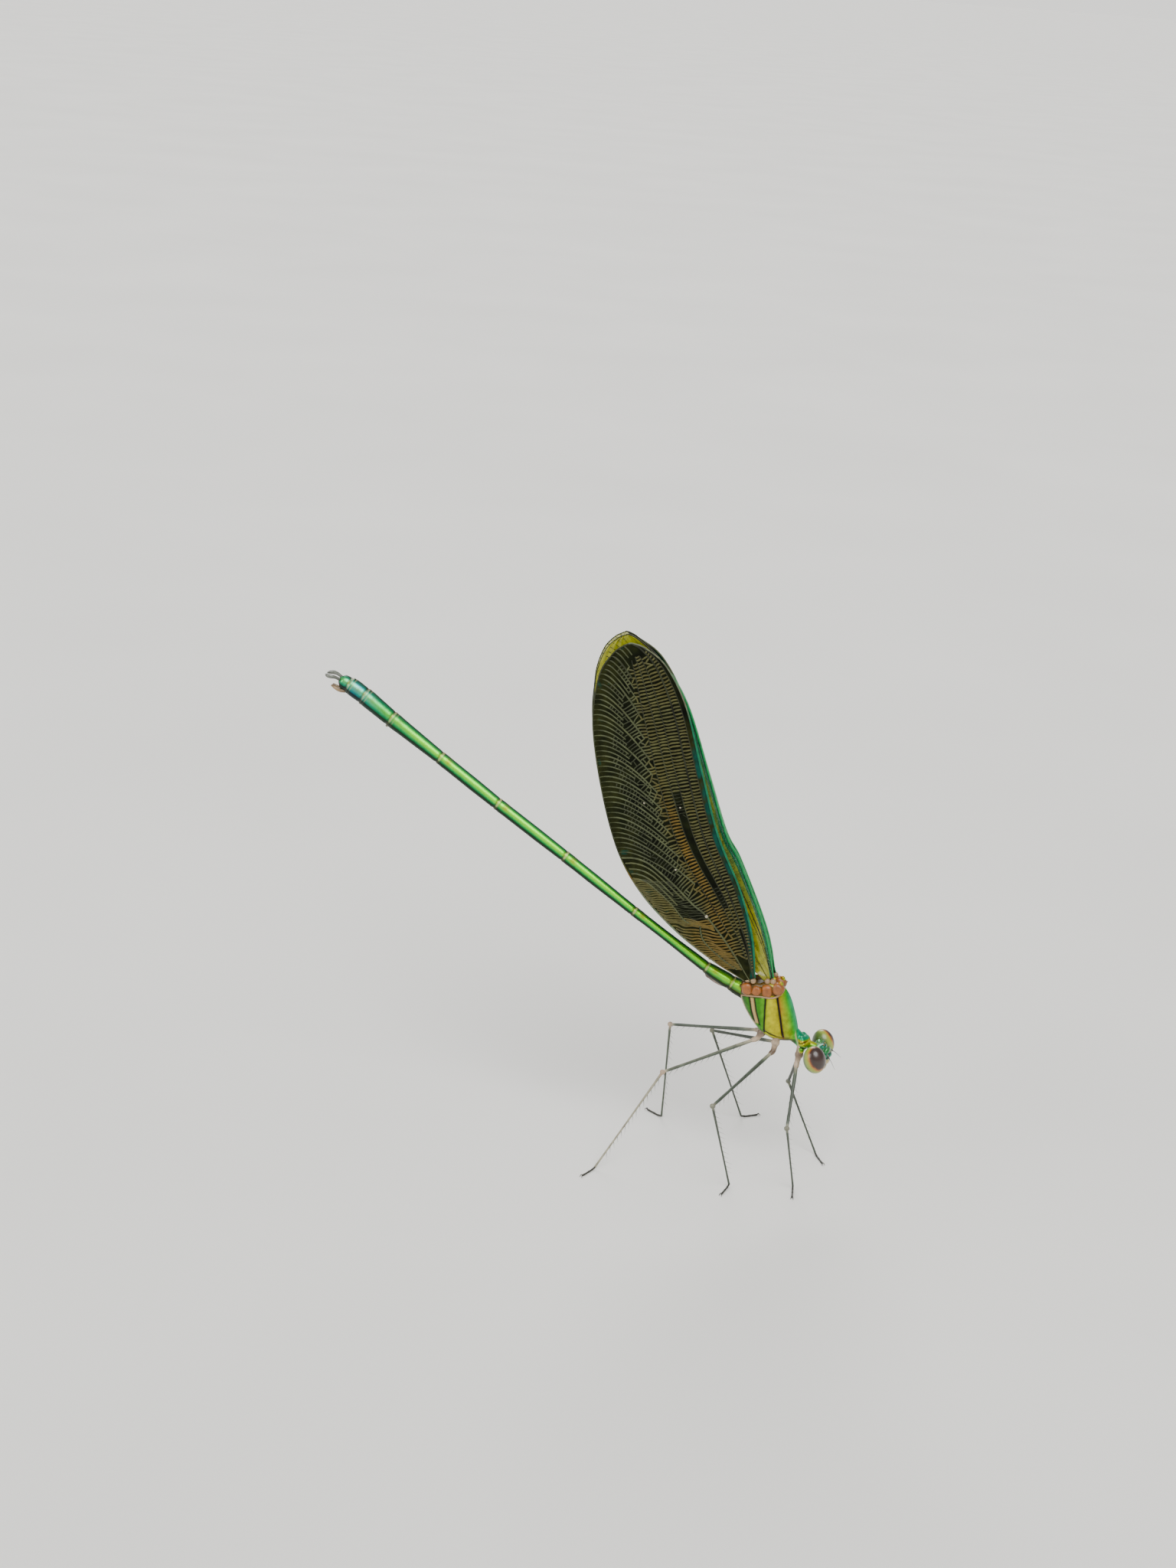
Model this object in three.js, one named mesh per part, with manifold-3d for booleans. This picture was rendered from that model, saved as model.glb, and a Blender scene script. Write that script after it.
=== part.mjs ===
// A male stream glory damselfly, Neurobasis chinensis, perched with its wings closed over its back.
// Units are millimetres, +X is forward, +Y is the insect's left, +Z is up, and the feet stand on Z = 0.

import * as THREE from "three";
import { mergeVertices } from "three/addons/utils/BufferGeometryUtils.js";
import Module from "manifold-3d";

const wasm = await Module();
wasm.setup();

const DEGREE = Math.PI / 180;

// Lay-out of the whole insect
// Lengths are measured from a point on the floor below the wing hinges. The group then moves the
// insect forward, so that the origin lies under the middle of its outline.
const FORWARD_SHIFT = 16.7;
const JOINT_GAP = 0.28;
const SIDES = [
  { name: "right", y: -1 },
  { name: "left", y: 1 },
];

// Colours from the living insect
const PALETTE = {
  metalGreen: { color: "#2f9a4a", roughness: 0.3, metalness: 0.6 },
  metalTeal: { color: "#1fa98a", roughness: 0.3, metalness: 0.6 },
  goldGreen: { color: "#8fae28", roughness: 0.35, metalness: 0.5 },
  yellowGreen: { color: "#b4c437", roughness: 0.45, metalness: 0.1 },
  eyeBrown: { color: "#3a2a1e", roughness: 0.15, metalness: 0.0 },
  hornCream: { color: "#d8cfa8", roughness: 0.5, metalness: 0.0 },
  coxaPink: { color: "#cdb49c", roughness: 0.5, metalness: 0.0 },
  legGrey: { color: "#4c5c46", roughness: 0.45, metalness: 0.1 },
  tibiaCream: { color: "#b9b396", roughness: 0.45, metalness: 0.0 },
  black: { color: "#1b1c18", roughness: 0.4, metalness: 0.0 },
  wingDark: { color: "#2b2a1c", roughness: 0.35, metalness: 0.2 },
  wingClear: { color: "#9a9a35", roughness: 0.25, metalness: 0.0 },
};

const point = (x, y, z) => new THREE.Vector3(x, y, z);
const mix = (a, b, share) => a + (b - a) * share;

// A smooth value through evenly spaced samples, used for radii and half-widths.
const profile = (samples, share) => {
  const place = Math.min(Math.max(share, 0), 1) * (samples.length - 1);
  const low = Math.min(Math.floor(place), samples.length - 2);
  return mix(samples[low], samples[low + 1], place - low);
};

// Shape helpers

// Turns a list of equal rings into a closed body with a flat cap at each end.
const loft = (rings) => {
  const count = rings[0].length;
  const vertices = rings.flat();
  const faces = [];
  for (let ring = 0; ring < rings.length - 1; ring += 1) {
    for (let i = 0; i < count; i += 1) {
      const a = ring * count + i;
      const b = ring * count + ((i + 1) % count);
      faces.push([a, b, b + count], [a, b + count, a + count]);
    }
  }
  const last = (rings.length - 1) * count;
  for (let i = 1; i < count - 1; i += 1) {
    faces.push([0, i + 1, i], [last, last + i, last + i + 1]);
  }
  return closedGeometry(vertices, faces);
};

// Builds an indexed geometry and turns its faces outward.
const closedGeometry = (vertices, faces) => {
  let volume = 0;
  for (const [a, b, c] of faces) {
    volume += vertices[a].dot(point(0, 0, 0).crossVectors(vertices[b], vertices[c]));
  }
  const index = faces.flatMap(([a, b, c]) => (volume < 0 ? [a, c, b] : [a, b, c]));
  const geometry = new THREE.BufferGeometry();
  const numbers = vertices.flatMap((v) => v.toArray());
  geometry.setAttribute("position", new THREE.Float32BufferAttribute(numbers, 3));
  geometry.setIndex(index);
  return geometry;
};

// A tapered limb along a path. Tall stretches the section along the frame's upright direction.
const limb = (path, radii, { sides = 8, steps = 5, tall = 1 } = {}) => {
  const curve = new THREE.CatmullRomCurve3(path, false, "centripetal");
  const rings = [];
  for (let step = 0; step <= steps; step += 1) {
    const share = step / steps;
    const centre = curve.getPointAt(share);
    const along = curve.getTangentAt(share);
    const guide = Math.abs(along.z) > 0.97 ? point(1, 0, 0) : point(0, 0, 1);
    const across = point(0, 0, 0).crossVectors(along, guide).normalize();
    const upright = point(0, 0, 0).crossVectors(across, along).normalize();
    const radius = profile(radii, share);
    const ring = [];
    for (let i = 0; i < sides; i += 1) {
      const turn = ((i + 0.5) / sides) * Math.PI * 2;
      ring.push(
        centre
          .clone()
          .addScaledVector(across, Math.cos(turn) * radius)
          .addScaledVector(upright, Math.sin(turn) * radius * tall),
      );
    }
    rings.push(ring);
  }
  return loft(rings);
};

// An ellipsoid with its own tilt in the side view, in degrees.
const ellipsoid = (centre, radii, { tilt = 0, around = 16, rows = 10 } = {}) => {
  const geometry = new THREE.SphereGeometry(1, around, rows);
  geometry.rotateX(90 * DEGREE);
  geometry.scale(radii.x, radii.y, radii.z);
  geometry.rotateY(tilt * DEGREE);
  geometry.translate(centre.x, centre.y, centre.z);
  return geometry;
};

const mirrored = (v, side) => point(v.x, v.y * side, v.z);

// Boolean helpers

const solid = (geometry) => {
  const plain = geometry.clone();
  plain.deleteAttribute("normal");
  plain.deleteAttribute("uv");
  const merged = mergeVertices(plain, 1e-4);
  return new wasm.Manifold(
    new wasm.Mesh({
      numProp: 3,
      vertProperties: new Float32Array(merged.attributes.position.array),
      triVerts: new Uint32Array(merged.index.array),
    }),
  );
};

const joined = (geometries) => geometries.map(solid).reduce((whole, piece) => whole.add(piece));

// Keeps the largest closed surface of a solid and returns it as a geometry.
const surfaceOf = (body) => {
  const largest = body.decompose().reduce((a, b) => (a.volume() > b.volume() ? a : b));
  const mesh = largest.getMesh();
  const geometry = new THREE.BufferGeometry();
  geometry.setAttribute("position", new THREE.BufferAttribute(new Float32Array(mesh.vertProperties), 3));
  geometry.setIndex(new THREE.BufferAttribute(new Uint32Array(mesh.triVerts), 1));
  return geometry;
};

const insect = new THREE.Group();
insect.position.x = FORWARD_SHIFT;

const addNode = (name, geometry, look) => {
  const shaded = geometry.index ? geometry.toNonIndexed() : geometry.clone();
  shaded.computeVertexNormals();
  const mesh = new THREE.Mesh(shaded, new THREE.MeshStandardMaterial(PALETTE[look]));
  mesh.name = name;
  insect.add(mesh);
};

// Synthorax: the fused middle and hind thorax that carries the wings
const THORAX = {
  bottom: 13.15,
  top: 18.35,
  frontLow: 4.4,
  frontHigh: 2.75,
  rearLow: 1.2,
  rearHigh: -1.75,
  halfWidth: 1.45,
  topHalfWidth: 0.95,
  keel: 0.28,
};

const THORAX_LEVELS = 12;
const THORAX_AROUND = 20;

const thoraxRings = (grow) => {
  const rings = [];
  for (let level = 0; level <= THORAX_LEVELS; level += 1) {
    const share = level / THORAX_LEVELS;
    const round = Math.pow(Math.abs(2 * share - 1), 4);
    const front = mix(THORAX.frontLow, THORAX.frontHigh, Math.pow(share, 1.15)) - 0.45 * round;
    const slope = Math.pow(Math.sin(share * 90 * DEGREE), 0.9);
    const rear = mix(THORAX.rearLow, THORAX.rearHigh, slope) + 0.35 * round;
    const widest = mix(THORAX.halfWidth, share < 0.5 ? 0.7 : THORAX.topHalfWidth, round);
    const z = mix(THORAX.bottom - grow, THORAX.top + grow, share);
    const middle = (front + rear) / 2;
    const half = (front - rear) / 2 + grow;
    const ring = [];
    for (let i = 0; i < THORAX_AROUND; i += 1) {
      const turn = (i / THORAX_AROUND) * Math.PI * 2;
      const taper = 1 - THORAX.keel * Math.cos(turn);
      const bulge = Math.sign(Math.sin(turn)) * Math.pow(Math.abs(Math.sin(turn)), 0.85);
      ring.push(point(middle + half * Math.cos(turn), (widest + grow) * bulge * taper, z));
    }
    rings.push(ring);
  }
  return loft(rings);
};

// Hinges of the wings on the back, for the right side mirrored by its sign
const HINGE = {
  forewing: point(1.06, 0.64, 19.05),
  hindwing: point(-0.57, 1.4, 19.12),
};
const KNOB = { length: 0.62, width: 0.36, height: 0.42 };

const hingeKnobs = (side) => {
  const knobs = [];
  for (const hinge of [HINGE.forewing, HINGE.hindwing]) {
    const top = mirrored(hinge, side);
    const low = point(top.x, top.y, top.z - JOINT_GAP - KNOB.height - 0.1);
    knobs.push(ellipsoid(low, point(KNOB.length, KNOB.width, KNOB.height)));
    knobs.push(ellipsoid(point(low.x + 0.15, side * 1.05, 17.85), point(0.95, 0.42, 0.6)));
  }
  return knobs;
};

const synthorax = joined([thoraxRings(0), ...SIDES.flatMap((side) => hingeKnobs(side.y))]);
const aroundSynthorax = solid(thoraxRings(JOINT_GAP));
addNode("synthorax", surfaceOf(synthorax), "goldGreen");

// Prothorax, with the short soft neck on its front
const PROTHORAX = {
  centre: point(4.72, 0, 13.0),
  length: 0.62,
  halfWidth: 1.0,
  halfHeight: 0.78,
  tilt: 25,
};
const NECK = { path: [point(4.8, 0, 12.98), point(6.1, 0, 12.5)], radii: [0.45, 0.42] };

const prothoraxShape = (grow) =>
  ellipsoid(
    PROTHORAX.centre,
    point(PROTHORAX.length + grow, PROTHORAX.halfWidth + grow, PROTHORAX.halfHeight + grow),
    { tilt: PROTHORAX.tilt, around: 18, rows: 12 },
  );
const pronotalLobes = SIDES.map((side) =>
  ellipsoid(point(4.72, side.y * 0.42, 13.52), point(0.36, 0.42, 0.28), { tilt: 25, around: 12, rows: 8 }),
);
const aroundProthorax = solid(prothoraxShape(JOINT_GAP));

// Head, turned a little to the insect's right and rolled a little down to its left
const HEAD = {
  centre: point(6.22, 0, 12.35),
  turn: -4,
  roll: -3,
  eyeApart: 4.2,
  eye: point(1.03, 0.98, 1.28),
  eyeTilt: -14,
};

const headPlace = new THREE.Matrix4()
  .makeTranslation(HEAD.centre.x, HEAD.centre.y, HEAD.centre.z)
  .multiply(new THREE.Matrix4().makeRotationZ(HEAD.turn * DEGREE))
  .multiply(new THREE.Matrix4().makeRotationX(HEAD.roll * DEGREE));

const headPart = (x, y, z, length, width, height, options) =>
  ellipsoid(point(x, y, z), point(length, width, height), options).applyMatrix4(headPlace);

const eyeShape = (side, grow) =>
  headPart(
    0,
    (side * HEAD.eyeApart) / 2,
    0,
    HEAD.eye.x + grow,
    HEAD.eye.y + grow,
    HEAD.eye.z + grow,
    { tilt: HEAD.eyeTilt, around: 22, rows: 16 },
  );

const craniumParts = (grow) => [
  headPart(0.08, 0, 0.05, 0.62 + grow, 1.95 + grow, 0.72 + grow, { around: 20, rows: 14 }),
  headPart(0.32, 0, -0.35, 0.68 + grow, 1.2 + grow, 0.8 + grow, { around: 18, rows: 12 }),
];
const faceParts = [
  headPart(0.66, 0, -0.3, 0.52, 0.86, 0.42, { around: 16, rows: 10 }),
  headPart(0.64, 0, -0.78, 0.44, 0.72, 0.4, { around: 16, rows: 10 }),
  headPart(0.2, 0, -1.28, 0.54, 0.52, 0.44, { around: 14, rows: 10 }),
  ...SIDES.map((side) => headPart(0.46, side.y * 0.74, -0.7, 0.42, 0.38, 0.5, { around: 12, rows: 8 })),
];
const aroundEyes = joined(SIDES.map((side) => eyeShape(side.y, JOINT_GAP)));
const head = joined([...craniumParts(0), ...faceParts]).subtract(aroundEyes);
const aroundHead = joined(craniumParts(JOINT_GAP));
addNode("head", surfaceOf(head), "metalGreen");
for (const side of SIDES) {
  addNode(`eye_${side.name}`, eyeShape(side.y, 0), "eyeBrown");
}

const neck = limb(NECK.path, NECK.radii, { sides: 10, steps: 2 });
const prothorax = joined([prothoraxShape(0), ...pronotalLobes, neck])
  .subtract(aroundSynthorax)
  .subtract(aroundHead);
addNode("prothorax", surfaceOf(prothorax), "yellowGreen");

// Antennae: a short thick foot and a bristle
const ANTENNA = { root: point(1.0, 0.72, 0.05), length: 2.0, footRadius: 0.25, tipRadius: 0.1 };
for (const side of SIDES) {
  const root = mirrored(ANTENNA.root, side.y);
  const reach = point(0.62, side.y * 0.5, -0.6).normalize();
  const start = root.clone().addScaledVector(reach, JOINT_GAP * 1.4);
  const tip = root.clone().addScaledVector(reach, ANTENNA.length);
  const bend = start.clone().lerp(tip, 0.5).add(point(0, 0, 0.12));
  const path = [start, bend, tip].map((v) => v.applyMatrix4(headPlace));
  const radii = [ANTENNA.footRadius, 0.24, 0.2, 0.16, ANTENNA.tipRadius];
  addNode(`antenna_${side.name}`, limb(path, radii, { sides: 7, steps: 5 }), "black");
}

// Abdomen: ten segments in a line that rises backward from the thorax
const ABDOMEN_ROOT = point(-1.62, 0, 17.42);
const SEGMENTS = [
  { length: 0.85, rise: 25, radii: [0.72, 0.7, 0.66] },
  { length: 2.7, rise: 25, radii: [0.64, 0.66, 0.62, 0.58, 0.52] },
  { length: 8.4, rise: 31.8, radii: [0.5, 0.48, 0.44, 0.42, 0.42, 0.43] },
  { length: 8.1, rise: 32.6, radii: [0.44, 0.45, 0.48, 0.5, 0.5, 0.5] },
  { length: 7.8, rise: 32, radii: [0.5, 0.52, 0.54, 0.54, 0.54, 0.53] },
  { length: 6.7, rise: 33, radii: [0.53, 0.55, 0.57, 0.57, 0.57, 0.56] },
  { length: 5.7, rise: 32.8, radii: [0.56, 0.59, 0.62, 0.65, 0.68, 0.7] },
  { length: 3.2, rise: 34.5, radii: [0.7, 0.73, 0.76, 0.76] },
  { length: 1.7, rise: 31, radii: [0.75, 0.76, 0.73] },
  { length: 1.15, rise: 22, radii: [0.66, 0.63, 0.54] },
];

// A bend larger than this, in degrees, needs the later segment cut back to keep its gap.
const STRAIGHT_ENOUGH = 5;

const joints = [ABDOMEN_ROOT];
for (const segment of SEGMENTS) {
  const rise = segment.rise * DEGREE;
  const last = joints[joints.length - 1];
  joints.push(last.clone().add(point(-Math.cos(rise) * segment.length, 0, Math.sin(rise) * segment.length)));
}

const segmentShape = (number, grow = 0) => {
  const from = joints[number - 1];
  const to = joints[number];
  const half = (JOINT_GAP / 2 - grow) / from.distanceTo(to);
  const radii = SEGMENTS[number - 1].radii.map((radius) => radius + grow);
  return limb([from.clone().lerp(to, half), to.clone().lerp(from, half)], radii, {
    sides: 14,
    steps: radii.length - 1,
    tall: 1.06,
  });
};

// The second segment bears the male's genital lobes on its underside.
const genitalLobes = () => {
  const under = joints[1].clone().lerp(joints[2], 0.5).add(point(-0.19, 0, -0.42));
  return ellipsoid(under, point(1.15, 0.36, 0.38), { tilt: SEGMENTS[1].rise });
};

SEGMENTS.forEach((segment, index) => {
  const number = index + 1;
  const pieces = number === 2 ? [segmentShape(2), genitalLobes()] : [segmentShape(number)];
  let body = joined(pieces);
  if (number === 1) {
    body = body.subtract(aroundSynthorax);
  } else if (Math.abs(segment.rise - SEGMENTS[index - 1].rise) > STRAIGHT_ENOUGH) {
    body = body.subtract(solid(segmentShape(number - 1, JOINT_GAP)));
  }
  addNode(`abdomen_s${number}`, surfaceOf(body), number > 7 ? "metalTeal" : "metalGreen");
});

// Claspers at the tip: a pair of curved cerci above, a pair of straight paraprocts below
const CLASPER = { cercus: 1.25, paraproct: 0.35, radius: 0.26 };
const tail = joints[joints.length - 1];
const tailBack = tail.clone().sub(joints[joints.length - 2]).normalize();
const tailUp = point(0, 0, 0).crossVectors(tailBack, point(0, 1, 0)).normalize();
tailUp.multiplyScalar(Math.sign(tailUp.z));
const fromTail = (back, y, up) =>
  tail.clone().addScaledVector(tailBack, back).addScaledVector(tailUp, up).add(point(0, y, 0));
const aroundTail = solid(segmentShape(10, JOINT_GAP));

for (const side of SIDES) {
  const cercusPath = [
    fromTail(JOINT_GAP * 0.8, side.y * 0.4, 0.12),
    fromTail(0.6, side.y * 0.62, 0.08),
    fromTail(0.98, side.y * 0.56, 0),
    fromTail(CLASPER.cercus, side.y * 0.3, -0.12),
  ];
  const cercusRadii = [CLASPER.radius, 0.25, 0.25, 0.2, 0.13];
  addNode(`cercus_${side.name}`, limb(cercusPath, cercusRadii, { sides: 8, steps: 6 }), "black");
  const paraproctPath = [
    fromTail(-0.9, side.y * 0.4, -0.98),
    fromTail(CLASPER.paraproct, side.y * 0.32, -0.82),
  ];
  const paraproct = solid(limb(paraproctPath, [CLASPER.radius, 0.26, 0.22, 0.14], { sides: 8, steps: 3 }));
  addNode(`paraproct_${side.name}`, surfaceOf(paraproct.subtract(aroundTail)), "hornCream");
}

// Legs
// Each pair has its own lengths. Each leg has its own footing, and its knee lies where the lengths
// of femur and tibia meet, at the place nearest to kneeNear.
const LEG_PAIRS = {
  hind: {
    femur: 9.3,
    tibia: 10.5,
    tarsus: 2.0,
    hip: point(0.55, 0.9, 13.05),
    root: point(1.15, 0.72, 14.2),
  },
  middle: {
    femur: 9.0,
    tibia: 9.6,
    tarsus: 1.9,
    hip: point(2.15, 0.96, 12.08),
    root: point(2.35, 0.62, 13.7),
  },
  fore: {
    femur: 6.5,
    tibia: 6.9,
    tarsus: 1.9,
    hip: point(4.42, 0.92, 11.28),
    root: point(4.6, 0.5, 12.75),
  },
};
const COXA_RADII = [0.52, 0.5, 0.46, 0.36];
const FEMUR_RADII = [0.26, 0.29, 0.27, 0.25, 0.26];
const TIBIA_RADII = [0.26, 0.24, 0.23, 0.22, 0.21];
const ANKLE_HEIGHT = 0.6;
const ANKLE_CUT = 0.12;
const LEGS = [
  { pair: "hind", side: "right", ankle: [-12.5, -6.75], kneeNear: point(-7.6, -2.9, 9.0), toes: 245 },
  { pair: "hind", side: "left", ankle: [-8.5, 4.8], kneeNear: point(-8.1, 3.2, 10.7), toes: 148 },
  { pair: "middle", side: "right", ankle: [-0.1, -5.6], kneeNear: point(-2.0, -8.6, 9.5), toes: 257 },
  { pair: "middle", side: "left", ankle: [-1.1, 7.5], kneeNear: point(-5.0, 6.3, 10.2), toes: 34 },
  { pair: "fore", side: "right", ankle: [5.6, -3.95], kneeNear: point(4.6, -6.0, 7.2), toes: 276 },
  { pair: "fore", side: "left", ankle: [6.8, 2.85], kneeNear: point(3.4, 4.8, 6.1), toes: 300 },
];

const kneePlace = (hip, ankle, femur, tibia, near) => {
  const reach = ankle.clone().sub(hip);
  const distance = reach.length();
  const axis = reach.normalize();
  const along = (femur ** 2 - tibia ** 2 + distance ** 2) / (2 * distance);
  const out = Math.sqrt(femur ** 2 - along ** 2);
  const lean = near.clone().sub(hip);
  lean.addScaledVector(axis, -lean.dot(axis)).normalize();
  return hip.clone().addScaledVector(axis, along).addScaledVector(lean, out);
};

// The end of a stretch moved past its own end point, or short of it where the distance is negative.
const beyond = (from, to, distance) => to.clone().addScaledVector(to.clone().sub(from).normalize(), distance);
const swollen = (radii, grow) => radii.map((radius) => radius + grow);

// A foot that lies along the floor: its underside is a flat on Z = 0.
const FOOT_STEPS = 4;
const FOOT_AROUND = 8;

const footShape = (from, to, radius, tipRadius) => {
  const rings = [];
  const along = to.clone().sub(from).setZ(0).normalize();
  const across = point(-along.y, along.x, 0);
  for (let step = 0; step <= FOOT_STEPS; step += 1) {
    const share = step / FOOT_STEPS;
    const size = mix(radius, tipRadius, share);
    const centre = from.clone().lerp(to, share).setZ(size * 0.8);
    const ring = [];
    for (let i = 0; i < FOOT_AROUND; i += 1) {
      const turn = ((i + 0.5) / FOOT_AROUND) * Math.PI * 2;
      const corner = centre.clone().addScaledVector(across, Math.cos(turn) * size);
      corner.z = Math.max(centre.z + Math.sin(turn) * size, 0);
      ring.push(corner);
    }
    rings.push(ring);
  }
  return loft(rings);
};

for (const leg of LEGS) {
  const pair = LEG_PAIRS[leg.pair];
  const side = SIDES.find((entry) => entry.name === leg.side).y;
  const name = `${leg.pair}_${leg.side}`;
  const root = mirrored(pair.root, side);
  const hip = mirrored(pair.hip, side);
  const ankle = point(leg.ankle[0], leg.ankle[1], ANKLE_HEIGHT);
  const knee = kneePlace(hip, ankle, pair.femur, pair.tibia, leg.kneeNear);
  const heading = point(Math.cos(leg.toes * DEGREE), Math.sin(leg.toes * DEGREE), 0);
  const heel = ankle.clone().setZ(0).addScaledVector(heading, JOINT_GAP);
  const toe = ankle.clone().setZ(0).addScaledVector(heading, pair.tarsus);

  const coxaShape = (grow) =>
    limb([root, beyond(root, hip, grow)], swollen(COXA_RADII, grow), { sides: 10, steps: 3 });
  const femurShape = (grow) =>
    limb([hip, beyond(hip, knee, grow)], swollen(FEMUR_RADII, grow), { sides: 8, steps: 4 });
  const trunk = leg.pair === "fore" ? aroundProthorax.add(aroundSynthorax) : aroundSynthorax;
  const coxa = solid(coxaShape(0)).subtract(trunk);
  const femur = solid(femurShape(0)).subtract(solid(coxaShape(JOINT_GAP)));
  const tibia = solid(limb([knee, beyond(knee, ankle, -ANKLE_CUT)], TIBIA_RADII, { sides: 7, steps: 4 }));
  addNode(`coxa_${name}`, surfaceOf(coxa), "coxaPink");
  addNode(`femur_${name}`, surfaceOf(femur), "legGrey");
  addNode(`tibia_${name}`, surfaceOf(tibia.subtract(solid(femurShape(JOINT_GAP)))), "tibiaCream");
  addNode(`tarsus_${name}`, footShape(heel, toe, 0.24, 0.16), "black");
}

// Wings
// Rise is the angle of the wing's axis above the horizontal, and the left wings lean back a little more.
// Span is measured along the wing from its hinge. Each edge is a smooth line through stations of
// span and distance from the wing's axis, and both edges end at the tip.
const WINGS = {
  forewing: {
    span: 34.4,
    rise: 62.8,
    leading: [
      [0, 0.4], [4.5, 1.3], [11.2, 1.6], [14.2, 1.4], [20, 2.05],
      [26.5, 2.7], [31, 2.05], [33.4, 1.05], [34.3, 0.35],
    ],
    trailing: [
      [0, 0.55], [4, 2.3], [9, 4.3], [15, 5.7], [22, 6.1],
      [28, 5.6], [31.6, 4.1], [33.6, 2.4], [34.3, 1.0],
    ],
    blade: 0.48,
    spread: 0.3,
    leftLean: 0.8,
    look: "wingClear",
  },
  hindwing: {
    span: 33.0,
    rise: 65.7,
    leading: [
      [0, 0.45], [4, 1.5], [8.5, 1.9], [14, 1.7], [20, 2.3],
      [26, 2.95], [30, 2.55], [32.1, 1.4], [32.9, 0.4],
    ],
    trailing: [
      [0, 0.6], [3, 3.0], [6.3, 5.1], [10.5, 6.9], [15, 7.6],
      [21, 7.0], [27, 5.6], [31.0, 3.5], [32.5, 1.7], [32.9, 0.7],
    ],
    blade: 1.45,
    spread: 0.45,
    leftLean: 2,
    look: "wingDark",
  },
};
const MEMBRANE = 0.46;
const VEIN_RIDGE = 0.09;
const STEM_SHARE = 0.2;
const VEINS = 13;
const VEIN_HALF = 0.009;
const SWEEP = 0.2;

const edgeCurve = (stations, span, sign) =>
  new THREE.SplineCurve([...stations, [span, 0]].map(([s, c]) => new THREE.Vector2(s, sign * c)));

// Rows run from the leading edge over the stem vein and then curve back to the trailing edge.
const wingRow = (leading, trailing, share) => {
  const front = leading.getPointAt(share);
  const back = trailing.getPointAt(share);
  const stem = front.clone().lerp(back, STEM_SHARE);
  const swept = trailing.getPointAt(Math.min(share + SWEEP * Math.sin(share * Math.PI), 1));
  const elbow = new THREE.Vector2(mix(stem.x, swept.x, 0.85), mix(stem.y, swept.y, 0.3));
  const vein = new THREE.QuadraticBezierCurve(stem, elbow, swept);
  const row = [0, 0.3, 0.7].map((part) => front.clone().lerp(stem, part));
  return row.concat([0, 0.08, 0.3, 0.55, 0.8, 1].map((part) => vein.getPoint(part)));
};
const COSTA_COLUMN = 0;
const STEM_COLUMN = 3;

const wingShares = () => {
  const shares = [{ at: 0, raised: false }];
  for (let vein = 0; vein < VEINS; vein += 1) {
    const at = mix(0.06, 0.93, vein / (VEINS - 1));
    shares.push({ at: at - VEIN_HALF, raised: false });
    shares.push({ at, raised: true });
    shares.push({ at: at + VEIN_HALF, raised: false });
  }
  return shares;
};

const wingShape = (wing, hinge, side) => {
  const leading = edgeCurve(wing.leading, wing.span, -1);
  const trailing = edgeCurve(wing.trailing, wing.span, 1);
  const rise = (wing.rise - (side > 0 ? wing.leftLean : 0)) * DEGREE;
  const spanward = point(-Math.cos(rise), 0, Math.sin(rise));
  const chordward = point(-Math.sin(rise), 0, -Math.cos(rise));
  const place = (flat, lift) => {
    const reach = 1 - Math.exp(-Math.max(flat.x, 0) / 0.6);
    const level = mix(Math.abs(hinge.y), wing.blade, reach) + wing.spread * (flat.x / wing.span) ** 2;
    return hinge
      .clone()
      .setY(side * (level + lift))
      .addScaledVector(spanward, flat.x)
      .addScaledVector(chordward, flat.y);
  };
  const flats = [];
  const lifts = [];
  const shares = wingShares();
  for (const { at, raised } of shares) {
    wingRow(leading, trailing, at).forEach((flat, column) => {
      const ridge = column === COSTA_COLUMN || column === STEM_COLUMN || (raised && column > STEM_COLUMN);
      flats.push(flat);
      lifts.push(MEMBRANE / 2 + (ridge ? VEIN_RIDGE : 0));
    });
  }
  flats.push(new THREE.Vector2(wing.span, 0));
  lifts.push(MEMBRANE / 2);

  // The same triangles serve both faces.
  const tip = flats.length - 1;
  const columns = tip / shares.length;
  const triangles = [];
  for (let row = 0; row < shares.length - 1; row += 1) {
    for (let column = 0; column < columns - 1; column += 1) {
      const a = row * columns + column;
      triangles.push([a, a + 1, a + columns + 1], [a, a + columns + 1, a + columns]);
    }
  }
  const lastRow = (shares.length - 1) * columns;
  for (let column = 0; column < columns - 1; column += 1) {
    triangles.push([lastRow + column, lastRow + column + 1, tip]);
  }
  const outer = flats.map((flat, i) => place(flat, lifts[i]));
  const inner = flats.map((flat, i) => place(flat, -lifts[i]));
  const faces = [];
  for (const [a, b, c] of triangles) {
    faces.push([a, b, c], [c + outer.length, b + outer.length, a + outer.length]);
  }
  const rim = [];
  for (let column = 0; column < columns; column += 1) {
    rim.push(column);
  }
  for (let row = 1; row < shares.length; row += 1) {
    rim.push(row * columns + columns - 1);
  }
  rim.push(tip);
  for (let row = shares.length - 1; row > 0; row -= 1) {
    rim.push(row * columns);
  }
  rim.forEach((a, i) => {
    const b = rim[(i + 1) % rim.length];
    faces.push([b, a, a + outer.length], [b, a + outer.length, b + outer.length]);
  });
  return closedGeometry([...outer, ...inner], faces);
};

for (const side of SIDES) {
  for (const [name, wing] of Object.entries(WINGS)) {
    addNode(`${name}_${side.name}`, wingShape(wing, mirrored(HINGE[name], side.y), side.y), wing.look);
  }
}

const scene = new THREE.Group();
scene.name = "damselfly";
scene.add(insect);

export default scene;
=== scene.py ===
# A male stream glory damselfly, Neurobasis chinensis, perched with closed wings, at life size.
# Shapes are worked out in millimetres in the insect's own lay-out, as in the part's source, and
# every finished mesh is moved into the row frame in metres.
import math

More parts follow.
